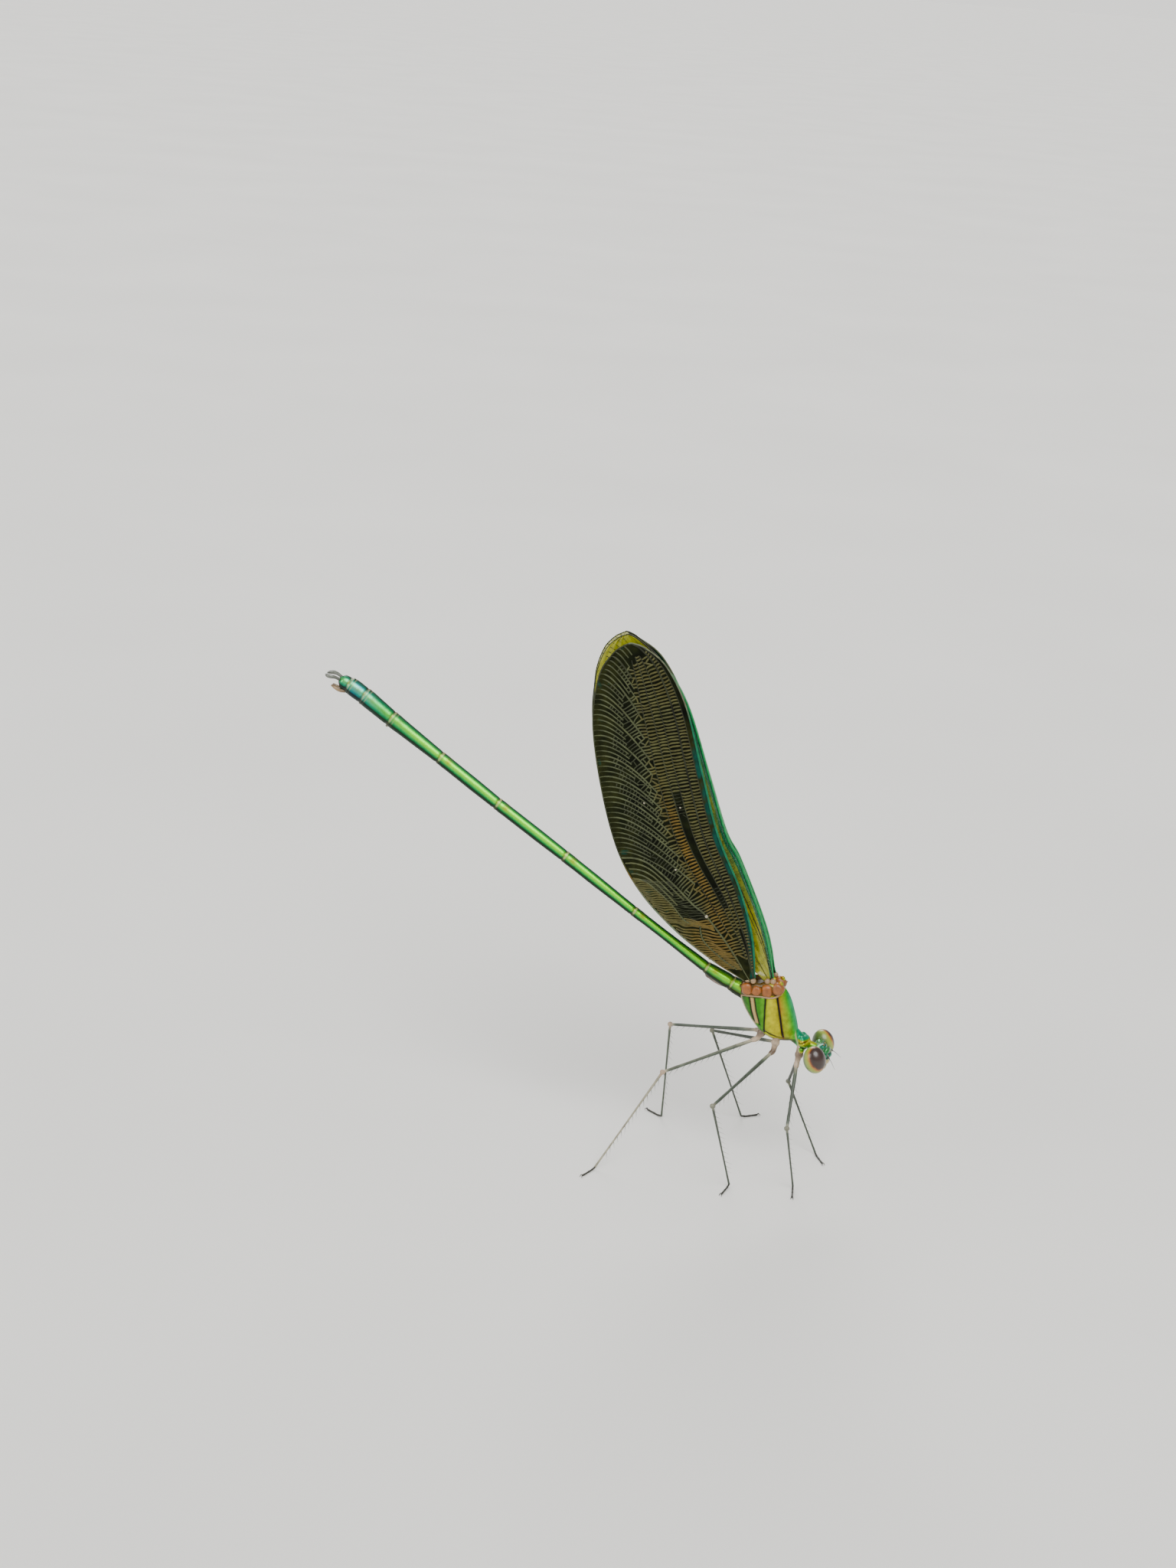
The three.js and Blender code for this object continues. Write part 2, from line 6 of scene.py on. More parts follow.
import bpy
import numpy as np
from mathutils import Matrix, Vector
from mathutils.kdtree import KDTree


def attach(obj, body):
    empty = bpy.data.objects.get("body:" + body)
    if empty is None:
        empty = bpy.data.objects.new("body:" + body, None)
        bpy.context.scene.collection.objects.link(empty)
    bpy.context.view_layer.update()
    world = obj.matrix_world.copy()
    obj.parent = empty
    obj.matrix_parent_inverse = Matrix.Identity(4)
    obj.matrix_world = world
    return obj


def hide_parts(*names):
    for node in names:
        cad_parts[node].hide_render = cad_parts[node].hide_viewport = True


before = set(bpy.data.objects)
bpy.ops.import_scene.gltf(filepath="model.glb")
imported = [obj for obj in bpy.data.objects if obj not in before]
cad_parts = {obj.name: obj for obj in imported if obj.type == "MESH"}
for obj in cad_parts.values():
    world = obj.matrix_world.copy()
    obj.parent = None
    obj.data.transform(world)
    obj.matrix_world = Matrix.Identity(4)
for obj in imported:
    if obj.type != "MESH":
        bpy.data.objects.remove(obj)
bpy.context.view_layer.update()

MM = 0.001
# How far the insect's own lay-out is moved forward in the row frame, in millimetres
FORWARD_SHIFT = 16.7
SIDES = {"right": -1, "left": 1}
SEED = 7


# Small helpers for numbers


def mix(a, b, share):
    return a + (b - a) * share


def bump(distance, width):
    """A smooth hill of height 1 at distance 0."""
    return np.exp(-((distance / width) ** 2))


def step_up(value, low, high):
    """0 below low, 1 above high, and smooth between them."""
    share = np.clip((value - low) / (high - low), 0, 1)
    return share * share * (3 - 2 * share)


def unit(vectors):
    length = np.linalg.norm(vectors, axis=-1, keepdims=True)
    return vectors / np.maximum(length, 1e-12)


def colour(code):
    """An sRGB hex colour as the linear values that Blender wants."""
    parts = [int(code[i : i + 2], 16) / 255 for i in (1, 3, 5)]
    linear = [p / 12.92 if p <= 0.04045 else ((p + 0.055) / 1.055) ** 2.4 for p in parts]
    return (*linear, 1.0)


# Shape helpers, all in millimetres

CURVE_STEPS = 24


def full_turn(count):
    """Angles spread evenly over one turn."""
    return np.linspace(0, 2 * math.pi, count, endpoint=False)


def length_along(line):
    """How far each point of a line is from its start, measured along it."""
    return np.concatenate([[0], np.cumsum(np.linalg.norm(np.diff(line, axis=0), axis=1))])


def points_at(marks, along, line):
    """Points of a line at the marks, where along says the mark of each of its own points."""
    return np.stack([np.interp(marks, along, column) for column in line.T], -1)


def profile(rows, at):
    """Values at the given places, read off straight lines through rows of (place, value)."""
    table = np.array(rows)
    return np.interp(at, table[:, 0], table[:, 1])


def side_turn(degrees):
    """The matrix that tilts a shape in the side view."""
    c, s = math.cos(math.radians(degrees)), math.sin(math.radians(degrees))
    return np.array([[c, 0, s], [0, 1, 0], [-s, 0, c]])


def loft(rings):
    """Closed skin over a stack of equal rings, with a fan at each end."""
    rings = np.asarray(rings, float)
    count, around = rings.shape[:2]
    points = np.concatenate([rings.reshape(-1, 3), rings[:1].mean(1), rings[-1:].mean(1)])
    faces = []
    for ring in range(count - 1):
        for i in range(around):
            a = ring * around + i
            b = ring * around + (i + 1) % around
            faces.append((a, b, b + around, a + around))
    first, last = count * around, count * around + 1
    for i in range(around):
        after = (i + 1) % around
        faces.append((first, after, i))
        faces.append((last, (count - 1) * around + i, (count - 1) * around + after))
    return points, faces


def smooth_path(points, steps):
    """Points evenly spaced along a smooth curve through the given ones."""
    points = np.asarray(points, float)
    padded = np.concatenate([2 * points[:1] - points[1:2], points, 2 * points[-1:] - points[-2:-1]])
    dense = []
    for i in range(1, len(padded) - 2):
        a, b, c, d = padded[i - 1 : i + 3]
        bend = 2 * a - 5 * b + 4 * c - d
        twist = 3 * b - a - 3 * c + d
        for t in np.linspace(0, 1, CURVE_STEPS, endpoint=False):
            dense.append(0.5 * (2 * b + (c - a) * t + bend * t**2 + twist * t**3))
    dense = np.array(dense + [points[-1]])
    along = length_along(dense)
    return points_at(np.linspace(0, along[-1], steps), along, dense)


def path_frame(path):
    """Sideways and upright directions along a path."""
    tangent = unit(np.gradient(path, axis=0))
    guide = np.where(np.abs(tangent[:, 2:3]) > 0.97, [[1.0, 0, 0]], [[0, 0, 1.0]])
    across = unit(np.cross(tangent, guide))
    return across, np.cross(across, tangent)


def limb(points, radii, around=14, steps=40):
    """A smooth tapered limb. Radii are evenly spread along it."""
    path = smooth_path(points, steps)
    across, upright = path_frame(path)
    share = np.linspace(0, 1, steps)
    radius = np.interp(share, np.linspace(0, 1, len(radii)), radii)[:, None, None]
    turn = full_turn(around)[None, :, None]
    sides = across[:, None] * np.cos(turn) + upright[:, None] * np.sin(turn)
    return loft(path[:, None] + sides * radius)


def ellipsoid(centre, radii, tilt=0, around=28, rows=18, boxy=2.0):
    """An ellipsoid whose length is tilted in the side view, in degrees. Above 2 it is boxier."""
    polar = np.linspace(0, math.pi, rows + 1)[1:-1, None]
    turn = full_turn(around)[None]
    height = np.cos(polar) * np.ones_like(turn)
    ball, faces = loft(np.stack([np.sin(polar) * np.cos(turn), np.sin(polar) * np.sin(turn), height], -1))
    ball[-2:] = [[0, 0, 1], [0, 0, -1]]
    ball = ball / (np.abs(ball) ** boxy).sum(1, keepdims=True) ** (1 / boxy)
    return (ball * radii) @ side_turn(tilt).T + centre, faces


def swellings(middle, paired):
    """Ellipsoids from rows of centre, radii and perhaps tilt. The paired ones are on both sides."""
    shapes = [ellipsoid(*row) for row in middle]
    for side in SIDES.values():
        shapes += [ellipsoid((x, side * y, z), *row) for (x, y, z), *row in paired]
    return shapes


def together(shapes):
    """Several shapes as one list of points and one list of faces."""
    points, faces, start = [], [], 0
    for some_points, some_faces in shapes:
        points.append(some_points)
        faces += [tuple(start + i for i in face) for face in some_faces]
        start += len(some_points)
    return np.concatenate(points), faces


def new_mesh(name, points, edges, faces):
    mesh = bpy.data.meshes.new(name)
    mesh.from_pydata(np.asarray(points).tolist(), edges, faces)
    return mesh


def new_object(name, data):
    thing = bpy.data.objects.new(name, data)
    bpy.context.scene.collection.objects.link(thing)
    return thing


def made_mesh(thing):
    """The mesh that comes out of an object's modifiers."""
    return bpy.data.meshes.new_from_object(thing.evaluated_get(bpy.context.evaluated_depsgraph_get()))


def vertex_values(mesh, key):
    """The place or the normal of each point of a mesh."""
    values = np.empty(len(mesh.vertices) * 3)
    mesh.vertices.foreach_get(key, values)
    return values.reshape(-1, 3)


def fused(shapes, voxel, smoothing):
    """One skin round several overlapping shapes, with soft transitions."""
    points, faces = together(shapes)
    thing = new_object("fusing", new_mesh("fusing", points, (), faces))
    remesh = thing.modifiers.new("Skin", "REMESH")
    remesh.mode = "VOXEL"
    remesh.voxel_size = voxel
    soften = thing.modifiers.new("Soften", "SMOOTH")
    soften.factor = 0.5
    soften.iterations = smoothing
    made = made_mesh(thing)
    result = vertex_values(made, "co"), [tuple(face.vertices) for face in made.polygons]
    bpy.data.objects.remove(thing)
    bpy.data.meshes.remove(made)
    return result


def normals_of(points, faces):
    mesh = new_mesh("measuring", points, (), faces)
    values = vertex_values(mesh, "normal")
    bpy.data.meshes.remove(mesh)
    return values


# Pieces of the visual model


def finish_piece(thing, replaced=()):
    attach(thing, "root")
    if replaced:
        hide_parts(*replaced)


def in_row_frame(points):
    return (np.asarray(points) + [FORWARD_SHIFT, 0, 0]) * MM


def add_attribute(mesh, key, values):
    """One number or one direction for each point."""
    kind, field = ("FLOAT_VECTOR", "vector") if values.ndim == 2 else ("FLOAT", "value")
    mesh.attributes.new(key, kind, "POINT").data.foreach_set(field, values.astype(np.float32).ravel())


def add_piece(name, shape, finish, slot, replaced=(), **attributes):
    """A finished mesh piece. An attribute is one number for all of its points, or one for each."""
    points, faces = shape
    mesh = new_mesh(name, in_row_frame(points), (), faces)
    mesh.materials.append(FINISHES[finish])
    for key, values in attributes.items():
        add_attribute(mesh, key, np.broadcast_to(values, len(points)))
    mesh.shade_smooth()
    mesh.validate()
    finish_piece(new_object(name, mesh), replaced)
    return mesh


# Node trees


def add_node(tree, kind, inputs=None, stops=None, **settings):
    """Adds a node with its settings and colour stops. An input takes a value, or a socket to link."""
    node = tree.nodes.new(kind)
    for key, value in settings.items():
        setattr(node, key, value)
    for key, value in (inputs or {}).items():
        if isinstance(value, bpy.types.NodeSocket):
            tree.links.new(value, node.inputs[key])
        else:
            node.inputs[key].default_value = value
    for number, (place, code) in enumerate(stops or []):
        elements = node.color_ramp.elements
        element = elements[number] if number < 2 else elements.new(place)
        element.position = place
        element.color = colour(code)
    return node


# Materials. All of the insect is cuticle, which is a hard protein skin that differs in its films,
# pigments and gloss. Sizes are real ones in millimetres.

# Cloudy textures stay mostly between these two values.
CLOUD_LOW, CLOUD_HIGH = 0.3, 0.7
# Fine mottling darkens the cuticle down to this grey.
MOTTLE_SHADE, MOTTLE_SIZE = "#c4c4c4", 0.5
# The facets of an eye are 0.03 mm across in life. They are drawn twice as large, so that they show as
# a fine grain in the gloss.
FACET_SIZE, FACET_DEPTH = 0.06, 0.004


def per_mm(size):
    """The texture scale whose features are about this many millimetres across."""
    return 1 / (size * MM)


def new_material(name, surface):
    """A material with one Principled shader. Surface gives the values that are the same all over."""
    material = bpy.data.materials.new(name)
    material.use_nodes = True
    tree = material.node_tree
    tree.nodes.clear()
    shader = add_node(tree, "ShaderNodeBsdfPrincipled", surface)
    add_node(tree, "ShaderNodeOutputMaterial", {"Surface": shader.outputs[0]})
    place = add_node(tree, "ShaderNodeTexCoord").outputs["Object"]
    return material, tree, shader, place


def pigment(tree, place, hues, shift, size, detail):
    """The colour that the hue attribute picks. Clouds of a size shift the hue by an amount."""
    hue = add_node(tree, "ShaderNodeAttribute", attribute_name="hue").outputs["Fac"]
    if shift:
        inputs = {"Vector": place, "Scale": per_mm(size), "Detail": detail}
        clouds = add_node(tree, "ShaderNodeTexNoise", inputs).outputs["Fac"]
        inputs = {"Value": clouds, "From Min": CLOUD_LOW, "From Max": CLOUD_HIGH}
        inputs |= {"To Min": -shift, "To Max": shift}
        moved = add_node(tree, "ShaderNodeMapRange", inputs).outputs[0]
        hue = add_node(tree, "ShaderNodeMath", {0: hue, 1: moved}, operation="ADD").outputs[0]
    return add_node(tree, "ShaderNodeValToRGB", {"Fac": hue}, hues).outputs[0]


def cuticle(name, hues, surface, overlays=(), metal=0.0, patches=(0.0, 2.0), wrinkles=(0.012, 0.14)):
    """Cuticle whose hue attribute picks its colour. Patches shift the hue by an amount over a size,
    and the wrinkles have a depth and a width. Overlays are attributes with the colours that they
    lay over the film, in order. Pale and dark horn isn't metal, and the rest is by the amount given."""
    material, tree, shader, place = new_material(name, surface)
    film = pigment(tree, place, hues, *patches, 2.0)
    inputs = {"Vector": place, "Scale": per_mm(MOTTLE_SIZE), "Detail": 3.0}
    spots = add_node(tree, "ShaderNodeTexNoise", inputs).outputs["Fac"]
    stops = [(CLOUD_LOW, MOTTLE_SHADE), (CLOUD_HIGH, "#ffffff")]
    spots = add_node(tree, "ShaderNodeValToRGB", {"Fac": spots}, stops).outputs[0]
    inputs = {0: 1.0, 6: film, 7: spots}
    film = add_node(tree, "ShaderNodeMix", inputs, data_type="RGBA", blend_type="MULTIPLY").outputs[2]
    horn = []
    for key, code in overlays:
        where = add_node(tree, "ShaderNodeAttribute", attribute_name=key).outputs["Fac"]
        inputs = {0: where, 6: film, 7: colour(code)}
        film = add_node(tree, "ShaderNodeMix", inputs, data_type="RGBA").outputs[2]
        if key in ("pale", "dark"):
            horn.append(where)
    tree.links.new(film, shader.inputs["Base Color"])
    if horn:
        bare = add_node(tree, "ShaderNodeMath", dict(enumerate(horn)), operation="MAXIMUM").outputs[0]
        inputs = {0: bare, 1: -metal, 2: metal}
        metallic = add_node(tree, "ShaderNodeMath", inputs, operation="MULTIPLY_ADD").outputs[0]
        tree.links.new(metallic, shader.inputs["Metallic"])
    depth, width = wrinkles
    inputs = {"Vector": place, "Scale": per_mm(width), "Detail": 4.0}
    folds = add_node(tree, "ShaderNodeTexNoise", inputs).outputs["Fac"]
    relief = add_node(tree, "ShaderNodeBump", {"Height": folds, "Distance": depth * MM, "Strength": 0.5})
    tree.links.new(relief.outputs[0], shader.inputs["Normal"])
    return material


def eye_cornea(name, hues, surface):
    """The faceted cornea of a compound eye over its pigment."""
    material, tree, shader, place = new_material(name, surface)
    tree.links.new(pigment(tree, place, hues, 0.012, 0.3, 3.0), shader.inputs["Base Color"])
    facets = add_node(tree, "ShaderNodeTexVoronoi", {"Vector": place, "Scale": per_mm(FACET_SIZE)})
    inputs = {"Height": facets.outputs["Distance"], "Distance": FACET_DEPTH * MM, "Strength": 0.35}
    relief = add_node(tree, "ShaderNodeBump", inputs)
    tree.links.new(relief.outputs[0], shader.inputs["Normal"])
    return material


ABDOMEN_HUES = [
    (0.0, "#a0cc08"), (0.06, "#62cc0c"), (0.2, "#2cc41c"), (0.5, "#14be38"), (0.74, "#10ba4c"),
    (0.88, "#0ec25c"), (0.91, "#0cbe80"), (0.935, "#0abcac"), (0.96, "#0aa8d0"), (0.975, "#10b8a0"),
    (1.0, "#14c070"),
]
THORAX_HUES = [
    (0.0, "#234a1c"), (0.17, "#428c1c"), (0.3, "#3e8a18"), (0.398, "#6ab020"), (0.402, "#a8b806"),
    (0.52, "#ccc404"), (0.645, "#aca404"), (0.655, "#c88018"), (0.7, "#b89414"), (0.79, "#9ab412"),
    (0.88, "#3cae1c"), (0.94, "#0ca458"), (1.0, "#06a084"),
]
HEAD_HUES = [(0.0, "#7a9a2c"), (0.3, "#228a36"), (0.6, "#0c8564"), (1.0, "#0a4a38")]
EYE_HUES = [
    (0.0, "#38251f"), (0.26, "#2a1812"), (0.295, "#4a230e"), (0.32, "#8a4a10"), (0.355, "#a87c22"),
    (0.4, "#8f9a2c"), (0.46, "#8a9c38"), (0.54, "#55702c"), (0.7, "#3a5526"), (1.0, "#2f4522"),
]
# Surfaces: clear wax over film, the duller wax of thorax and abdomen, and bare horn
WAX = {"Roughness": 0.3, "Coat Weight": 0.4, "Coat Roughness": 0.15}
THIN_WAX = {"Roughness": 0.36, "Specular IOR Level": 0.3, "Coat Weight": 0.06, "Coat Roughness": 0.2}
HORN = {"Roughness": 0.42, "Coat Weight": 0.15, "Coat Roughness": 0.3}
FILM_OVERLAYS = [("black", "#030403"), ("dark", "#050805"), ("gold", "#a86a14"), ("pale", "#b8a878")]
# The film of the abdomen is painted with the bands that its gloss shows: painted teal reflection on the
# back and low on the flanks, a painted yellow-green highlight on the flanks, and painted shade that
# turns the belly black over its own dark colour.
ABDOMEN_OVERLAYS = [
    ("teal", "#077452"), ("light", "#98ff2c"), ("black", "#03100a"), ("dark", "#050805"),
    ("gold", "#b08e1c"), ("pale", "#b8a878"),
]

FINISHES = {
    # Thin-film cuticle under clear wax: a saturated coloured metal gloss that dulls at bare horn.
    "abdomen": cuticle("abdomen_film_cuticle", ABDOMEN_HUES, THIN_WAX, ABDOMEN_OVERLAYS, 0.7),
    "thorax": cuticle("thorax_film_cuticle", THORAX_HUES, THIN_WAX, FILM_OVERLAYS, 0.5),
    "head": cuticle("head_film_cuticle", HEAD_HUES, WAX, FILM_OVERLAYS, 0.5),
    # Smooth cornea over pigment: a soft broad highlight on a deep colour.
    "eye": eye_cornea(
        "compound_eye_cornea", EYE_HUES,
        {"Roughness": 0.34, "IOR": 1.5, "Coat Weight": 0.4, "Coat Roughness": 0.2},
    ),
    # Soft unhardened plates at the wing hinges: orange clay colour with cream edges, nearly matt.
    "plates": cuticle("hinge_plate_cuticle", [(0.0, "#a05c20"), (0.55, "#8f5a2c"), (1.0, "#a88a66")], HORN,
                      wrinkles=(0.05, 0.3)),
    # Soft skin of the hips: dull pinkish cream with folds.
    "coxa": cuticle("hip_cuticle", [(0.0, "#6a5644"), (0.5, "#a48c72"), (1.0, "#c4ae94")], HORN,
                    wrinkles=(0.03, 0.2)),
    # Hard dull horn of the legs: grey-green and pale in places, with a painted pale sheen along the top of
    # each thigh.
    "leg": cuticle(
        "leg_cuticle", [(0.0, "#283026"), (0.45, "#515c4c"), (0.9, "#aaa48c"), (1.0, "#b89a80")], HORN,
    ),
    "foot": cuticle("foot_cuticle", [(0.0, "#14150f"), (1.0, "#3a3a2c")], HORN),
    # Fully hardened horn of claspers and feelers: dark, with a soft gloss.
    "dark": cuticle("dark_horn_cuticle", [(0.0, "#0f100d"), (0.7, "#34372f"), (1.0, "#6c7066")], WAX),
    "tan": cuticle("tan_horn_cuticle", [(0.0, "#5e4630"), (1.0, "#ad9066")], WAX),
    "mauve": cuticle("genital_lobe_cuticle", [(0.0, "#5e4a42"), (1.0, "#a08c80")], HORN),
    "bead": cuticle("vein_bead_cuticle", [(0.0, "#6a6450"), (1.0, "#b0a890")], HORN),
    "spine": cuticle("spine_bristle", [(0.0, "#1f1e18"), (1.0, "#4a4638")], HORN),
    # Wing membrane: a film a few hundredths of a millimetre thick. The hindwing's is a smoky olive
    # black outside and shines green to blue inside, and the forewing's is clear yellow-green.
    "wing_dark": cuticle(
        "hindwing_outer_membrane", [(0.0, "#070a03"), (0.4, "#151a08"), (0.75, "#272a0e"), (0.95, "#0c4238")],
        {"Roughness": 0.6, "Specular IOR Level": 0.06}, patches=(0.25, 1.2), wrinkles=(0.01, 0.22),
    ),
    "wing_metal": cuticle(
        "hindwing_inner_membrane", [(0.0, "#04503f"), (0.5, "#0a8a5c"), (1.0, "#0f62a0")],
        {"Roughness": 0.28, "Metallic": 0.85}, patches=(0.35, 3.0), wrinkles=(0.01, 0.22),
    ),
    "wing_clear": cuticle(
        "forewing_membrane", [(0.0, "#a8ac14"), (0.35, "#bcbc2c"), (0.6, "#0c7a50"), (1.0, "#0a7c5c")],
        {"Roughness": 0.3, "Metallic": 0.1, "Alpha": 0.6}, patches=(0.06, 1.5), wrinkles=(0.01, 0.22),
    ),
    # Wing veins: solid rods of cuticle, from dark through tan to coppery, with pale or green edges.
    "vein_tan": cuticle(
        "hindwing_vein_cuticle",
        [
            (0.0, "#0e1006"), (0.2, "#50563a"), (0.4, "#545028"), (0.6, "#6f561c"), (0.8, "#6a7058"),
            (0.9, "#0f6e4c"), (1.0, "#0f6e4c"),
        ],
        {"Roughness": 0.45, "Specular IOR Level": 0.2}, patches=(0.045, 2.5), wrinkles=(0.01, 0.2),
    ),
    "vein_green": cuticle(
        "forewing_vein_cuticle", [(0.0, "#1e1c08"), (0.4, "#2a3a14"), (0.8, "#0c7048"), (1.0, "#149a50")],
        {"Roughness": 0.35, "Metallic": 0.4}, wrinkles=(0.01, 0.2),
    ),
}


# Abdomen: ten segments under one skin, a ring at every joint
ABDOMEN_ROOT = np.array([-1.62, 0, 17.42])
# Length, rise in degrees, and radii along each segment
SEGMENTS = [
    (0.85, 25, [0.72, 0.7, 0.66]),
    (2.7, 25, [0.64, 0.66, 0.62, 0.58, 0.52]),
    (8.4, 31.8, [0.5, 0.48, 0.44, 0.42, 0.42, 0.43]),
    (8.1, 32.6, [0.44, 0.45, 0.48, 0.5, 0.5, 0.5]),
    (7.8, 32, [0.5, 0.52, 0.54, 0.54, 0.54, 0.53]),
    (6.7, 33, [0.53, 0.55, 0.57, 0.57, 0.57, 0.56]),
    (5.7, 32.8, [0.56, 0.59, 0.62, 0.65, 0.68, 0.7]),
    (3.2, 34.5, [0.7, 0.73, 0.76, 0.76]),
    (1.7, 31, [0.75, 0.76, 0.73]),
    (1.15, 22, [0.66, 0.63, 0.54]),
]
SEGMENT_TALL = 1.06
# The first and last radius of a segment lie this far inside it.
RADIUS_MARGIN = 0.06
# The skin starts inside the thorax, so that the two meet without a gap.
SKIN_START = -0.6
SKIN_STEP = 0.085
SKIN_AROUND = 44
BEND_SMOOTHING = 30


def abdomen_line():
    """Joint places, joint distances along the abdomen, and the radii with their own distances."""
    places, distances, radius_at, radius = [ABDOMEN_ROOT], [0.0], [], []
    for length, rise, radii in SEGMENTS:
        angle = math.radians(rise)
        places.append(places[-1] + length * np.array([-math.cos(angle), 0, math.sin(angle)]))
        stations = np.linspace(RADIUS_MARGIN, length - RADIUS_MARGIN, len(radii))
        radius_at += list(distances[-1] + stations)
        radius += radii
        distances.append(distances[-1] + length)
    return np.array(places), np.array(distances), np.array(radius_at), np.array(radius)


def make_abdomen():
    places, joints, radius_at, radius = abdomen_line()
    length = joints[-1]
    along = np.arange(SKIN_START, length + SKIN_STEP / 2, SKIN_STEP)
    start = places[0] + (places[1] - places[0]) * (SKIN_START / joints[1])
    centre = points_at(along, np.concatenate([[SKIN_START], joints]), np.concatenate([[start], places]))
    for _ in range(BEND_SMOOTHING):
        centre[1:-1] = (centre[:-2] + 2 * centre[1:-1] + centre[2:]) / 4
    size = np.interp(along, radius_at, radius)
    pale, gold, edge = np.zeros((3, len(along)))
    for number, joint in enumerate(joints[1:-1], 1):
        past = along - joint
        short = 0.7 if number in (1, 8, 9) else 1.0
        size += 0.024 * bump(past + 0.02, 0.1) - 0.034 * bump(past - 0.18, 0.09)
        size += 0.02 * bump(past + 0.5, 0.4)
        pale += mix(1.0, 0.6, number / 9) * bump(past, 0.08 * short)
        pale += 0.4 * bump(past + 0.28, 0.05) * (number > 6)
        edge += bump(past - 0.19, 0.07) + 0.5 * bump(past + 0.17, 0.05)
        gold += bump(past + 0.8, 0.3) * (0.7 if 1 < number < 7 else 0.2) + 0.7 * bump(past - 0.14, 0.06)
    tail_round = np.sqrt(np.clip((length + 0.05 - along) / 0.45, 0.02, 1))
    size *= np.where(along > length - 0.4, tail_round, 1)

    across, upright = path_frame(centre)
    turn = full_turn(SKIN_AROUND)
    up = np.cos(turn)[None]
    groove = 1 - 0.1 * bump(np.abs(turn - math.pi) / math.pi, 0.07)[None]
    fold = 1 + 0.035 * bump((np.abs(turn - math.pi) - 0.62), 0.16)[None]
    reach = size[:, None] * groove * fold
    rings = centre[:, None] + across[:, None] * (np.sin(turn)[None] * reach)[..., None]
    rings = rings + upright[:, None] * (up * reach * SEGMENT_TALL)[..., None]

    # Painted shade: the lower side is turned black over the belly's own dark colour, and the pale rings fade
    # there.
    belly = step_up(-up, -0.08, 0.3)
    share = np.clip(along / length, 0, 1)[:, None]
    pale, gold, edge = (np.clip(values, 0, 1)[:, None] for values in (pale, gold, edge))
    attributes = {
        "hue": share,
        "pale": pale * (1 - 0.85 * belly),
        "gold": gold * bump(up - 0.55, 0.3),
        "dark": np.clip(0.8 * step_up(up, 0.94, 0.995) + 0.75 * edge, 0, 1),
        "black": 0.97 * belly,
        # Painted reflection: teal along the back and low on the flanks.
        "teal": np.clip(0.8 * step_up(up, 0.8, 0.96) + 0.75 * bump(up - 0.02, 0.17), 0, 1),
        # Painted highlight: a yellow-green band along the flanks, weaker toward the tail.
        "light": 0.95 * bump(up - 0.5, 0.28) * (1 - 0.65 * step_up(share, 0.78, 0.9)),
    }
    for key, values in attributes.items():
        grid = np.broadcast_to(values, (len(along), SKIN_AROUND)).ravel()
        attributes[key] = np.concatenate([grid, [grid[0], grid[-1]]])
    nodes = [f"abdomen_s{number + 1}" for number in range(len(SEGMENTS))]
    add_piece("abdomen_skin", loft(rings), "abdomen", "abdomen_metal", nodes, **attributes)
    return places


def make_genital_lobes(places):
    """The pale lobes and hooks under the second segment, which only the male has."""
    middle = (places[1] + places[2]) / 2
    rise = SEGMENTS[1][1]
    shapes = []
    for side in SIDES.values():
        shapes.append(ellipsoid(middle + [-0.25, side * 0.17, -0.5], (1.05, 0.13, 0.28), rise))
    shapes.append(ellipsoid(middle + [0.75, 0, -0.78], (0.3, 0.22, 0.26), rise))
    shapes.append(ellipsoid(middle + [-0.95, 0, -0.18], (0.42, 0.2, 0.3), rise))
    shape = fused(shapes, voxel=0.05, smoothing=3)
    hue = 0.5 + 0.5 * np.sin(shape[0][:, 0] * 3)
    add_piece("genital_lobes", shape, "mauve", "abdomen_metal", hue=hue)


NUB_JOINTS = (7, 8, 9)


def make_joint_nubs(places):
    """Tiny pale swellings of soft skin under the last joints."""
    shapes = []
    for joint in NUB_JOINTS:
        for side in SIDES.values():
            centre = places[joint] + [-0.42, side * 0.2, -0.66]
            shapes.append(ellipsoid(centre, (0.12, 0.08, 0.09), 30, 14, 9))
    add_piece("joint_nubs", together(shapes), "bead", "abdomen_metal", hue=0.9)


# Paths of a pair of claspers at the tail, as distance behind it, distance from the middle, and rise
UPPER_CLASPER = [
    (-0.15, 0.34, 0.14), (0.35, 0.5, 0.16), (0.72, 0.62, 0.08), (1.02, 0.54, -0.02), (1.25, 0.24, -0.12),
]
LOWER_CLASPER = [(-1.0, 0.24, -0.7), (-0.4, 0.24, -0.86), (0.38, 0.2, -0.82)]


def make_claspers(places):
    tail = places[-1]
    back = unit(tail - places[-2])
    up = np.array([-back[2] * np.sign(back[0]), 0, back[0] * np.sign(back[0])])
    for name, side in SIDES.items():
        upper, lower = (
            [tail + back * behind + up * rise + [0, side * y, 0] for behind, y, rise in path]
            for path in (UPPER_CLASPER, LOWER_CLASPER)
        )
        shape = limb(upper, [0.15, 0.14, 0.17, 0.2, 0.17, 0.08], 18, 46)
        hue = 0.72 + 0.28 * step_up(shape[0][:, 2] - tail[2], 0.0, 0.4)
        add_piece(f"upper_clasper_{name}", shape, "dark", "clasper_dark", [f"cercus_{name}"], hue=hue)
        shape = limb(lower, [0.14, 0.18, 0.17, 0.15, 0.09], 16, 30)
        hue = 0.6 + 0.3 * np.sin(shape[0][:, 0] * 5)
        add_piece(f"lower_clasper_{name}", shape, "tan", "clasper_pale", [f"paraproct_{name}"], hue=hue)


# Thorax: fused middle and hind thorax, the fore thorax and the neck
THORAX = {
    "bottom": 13.15,
    "top": 18.35,
    "front": (4.4, 2.75),
    "rear": (1.2, -1.75),
    "half_width": 1.45,
    "bottom_half_width": 0.7,
    "top_half_width": 0.95,
    "keel": 0.28,
}
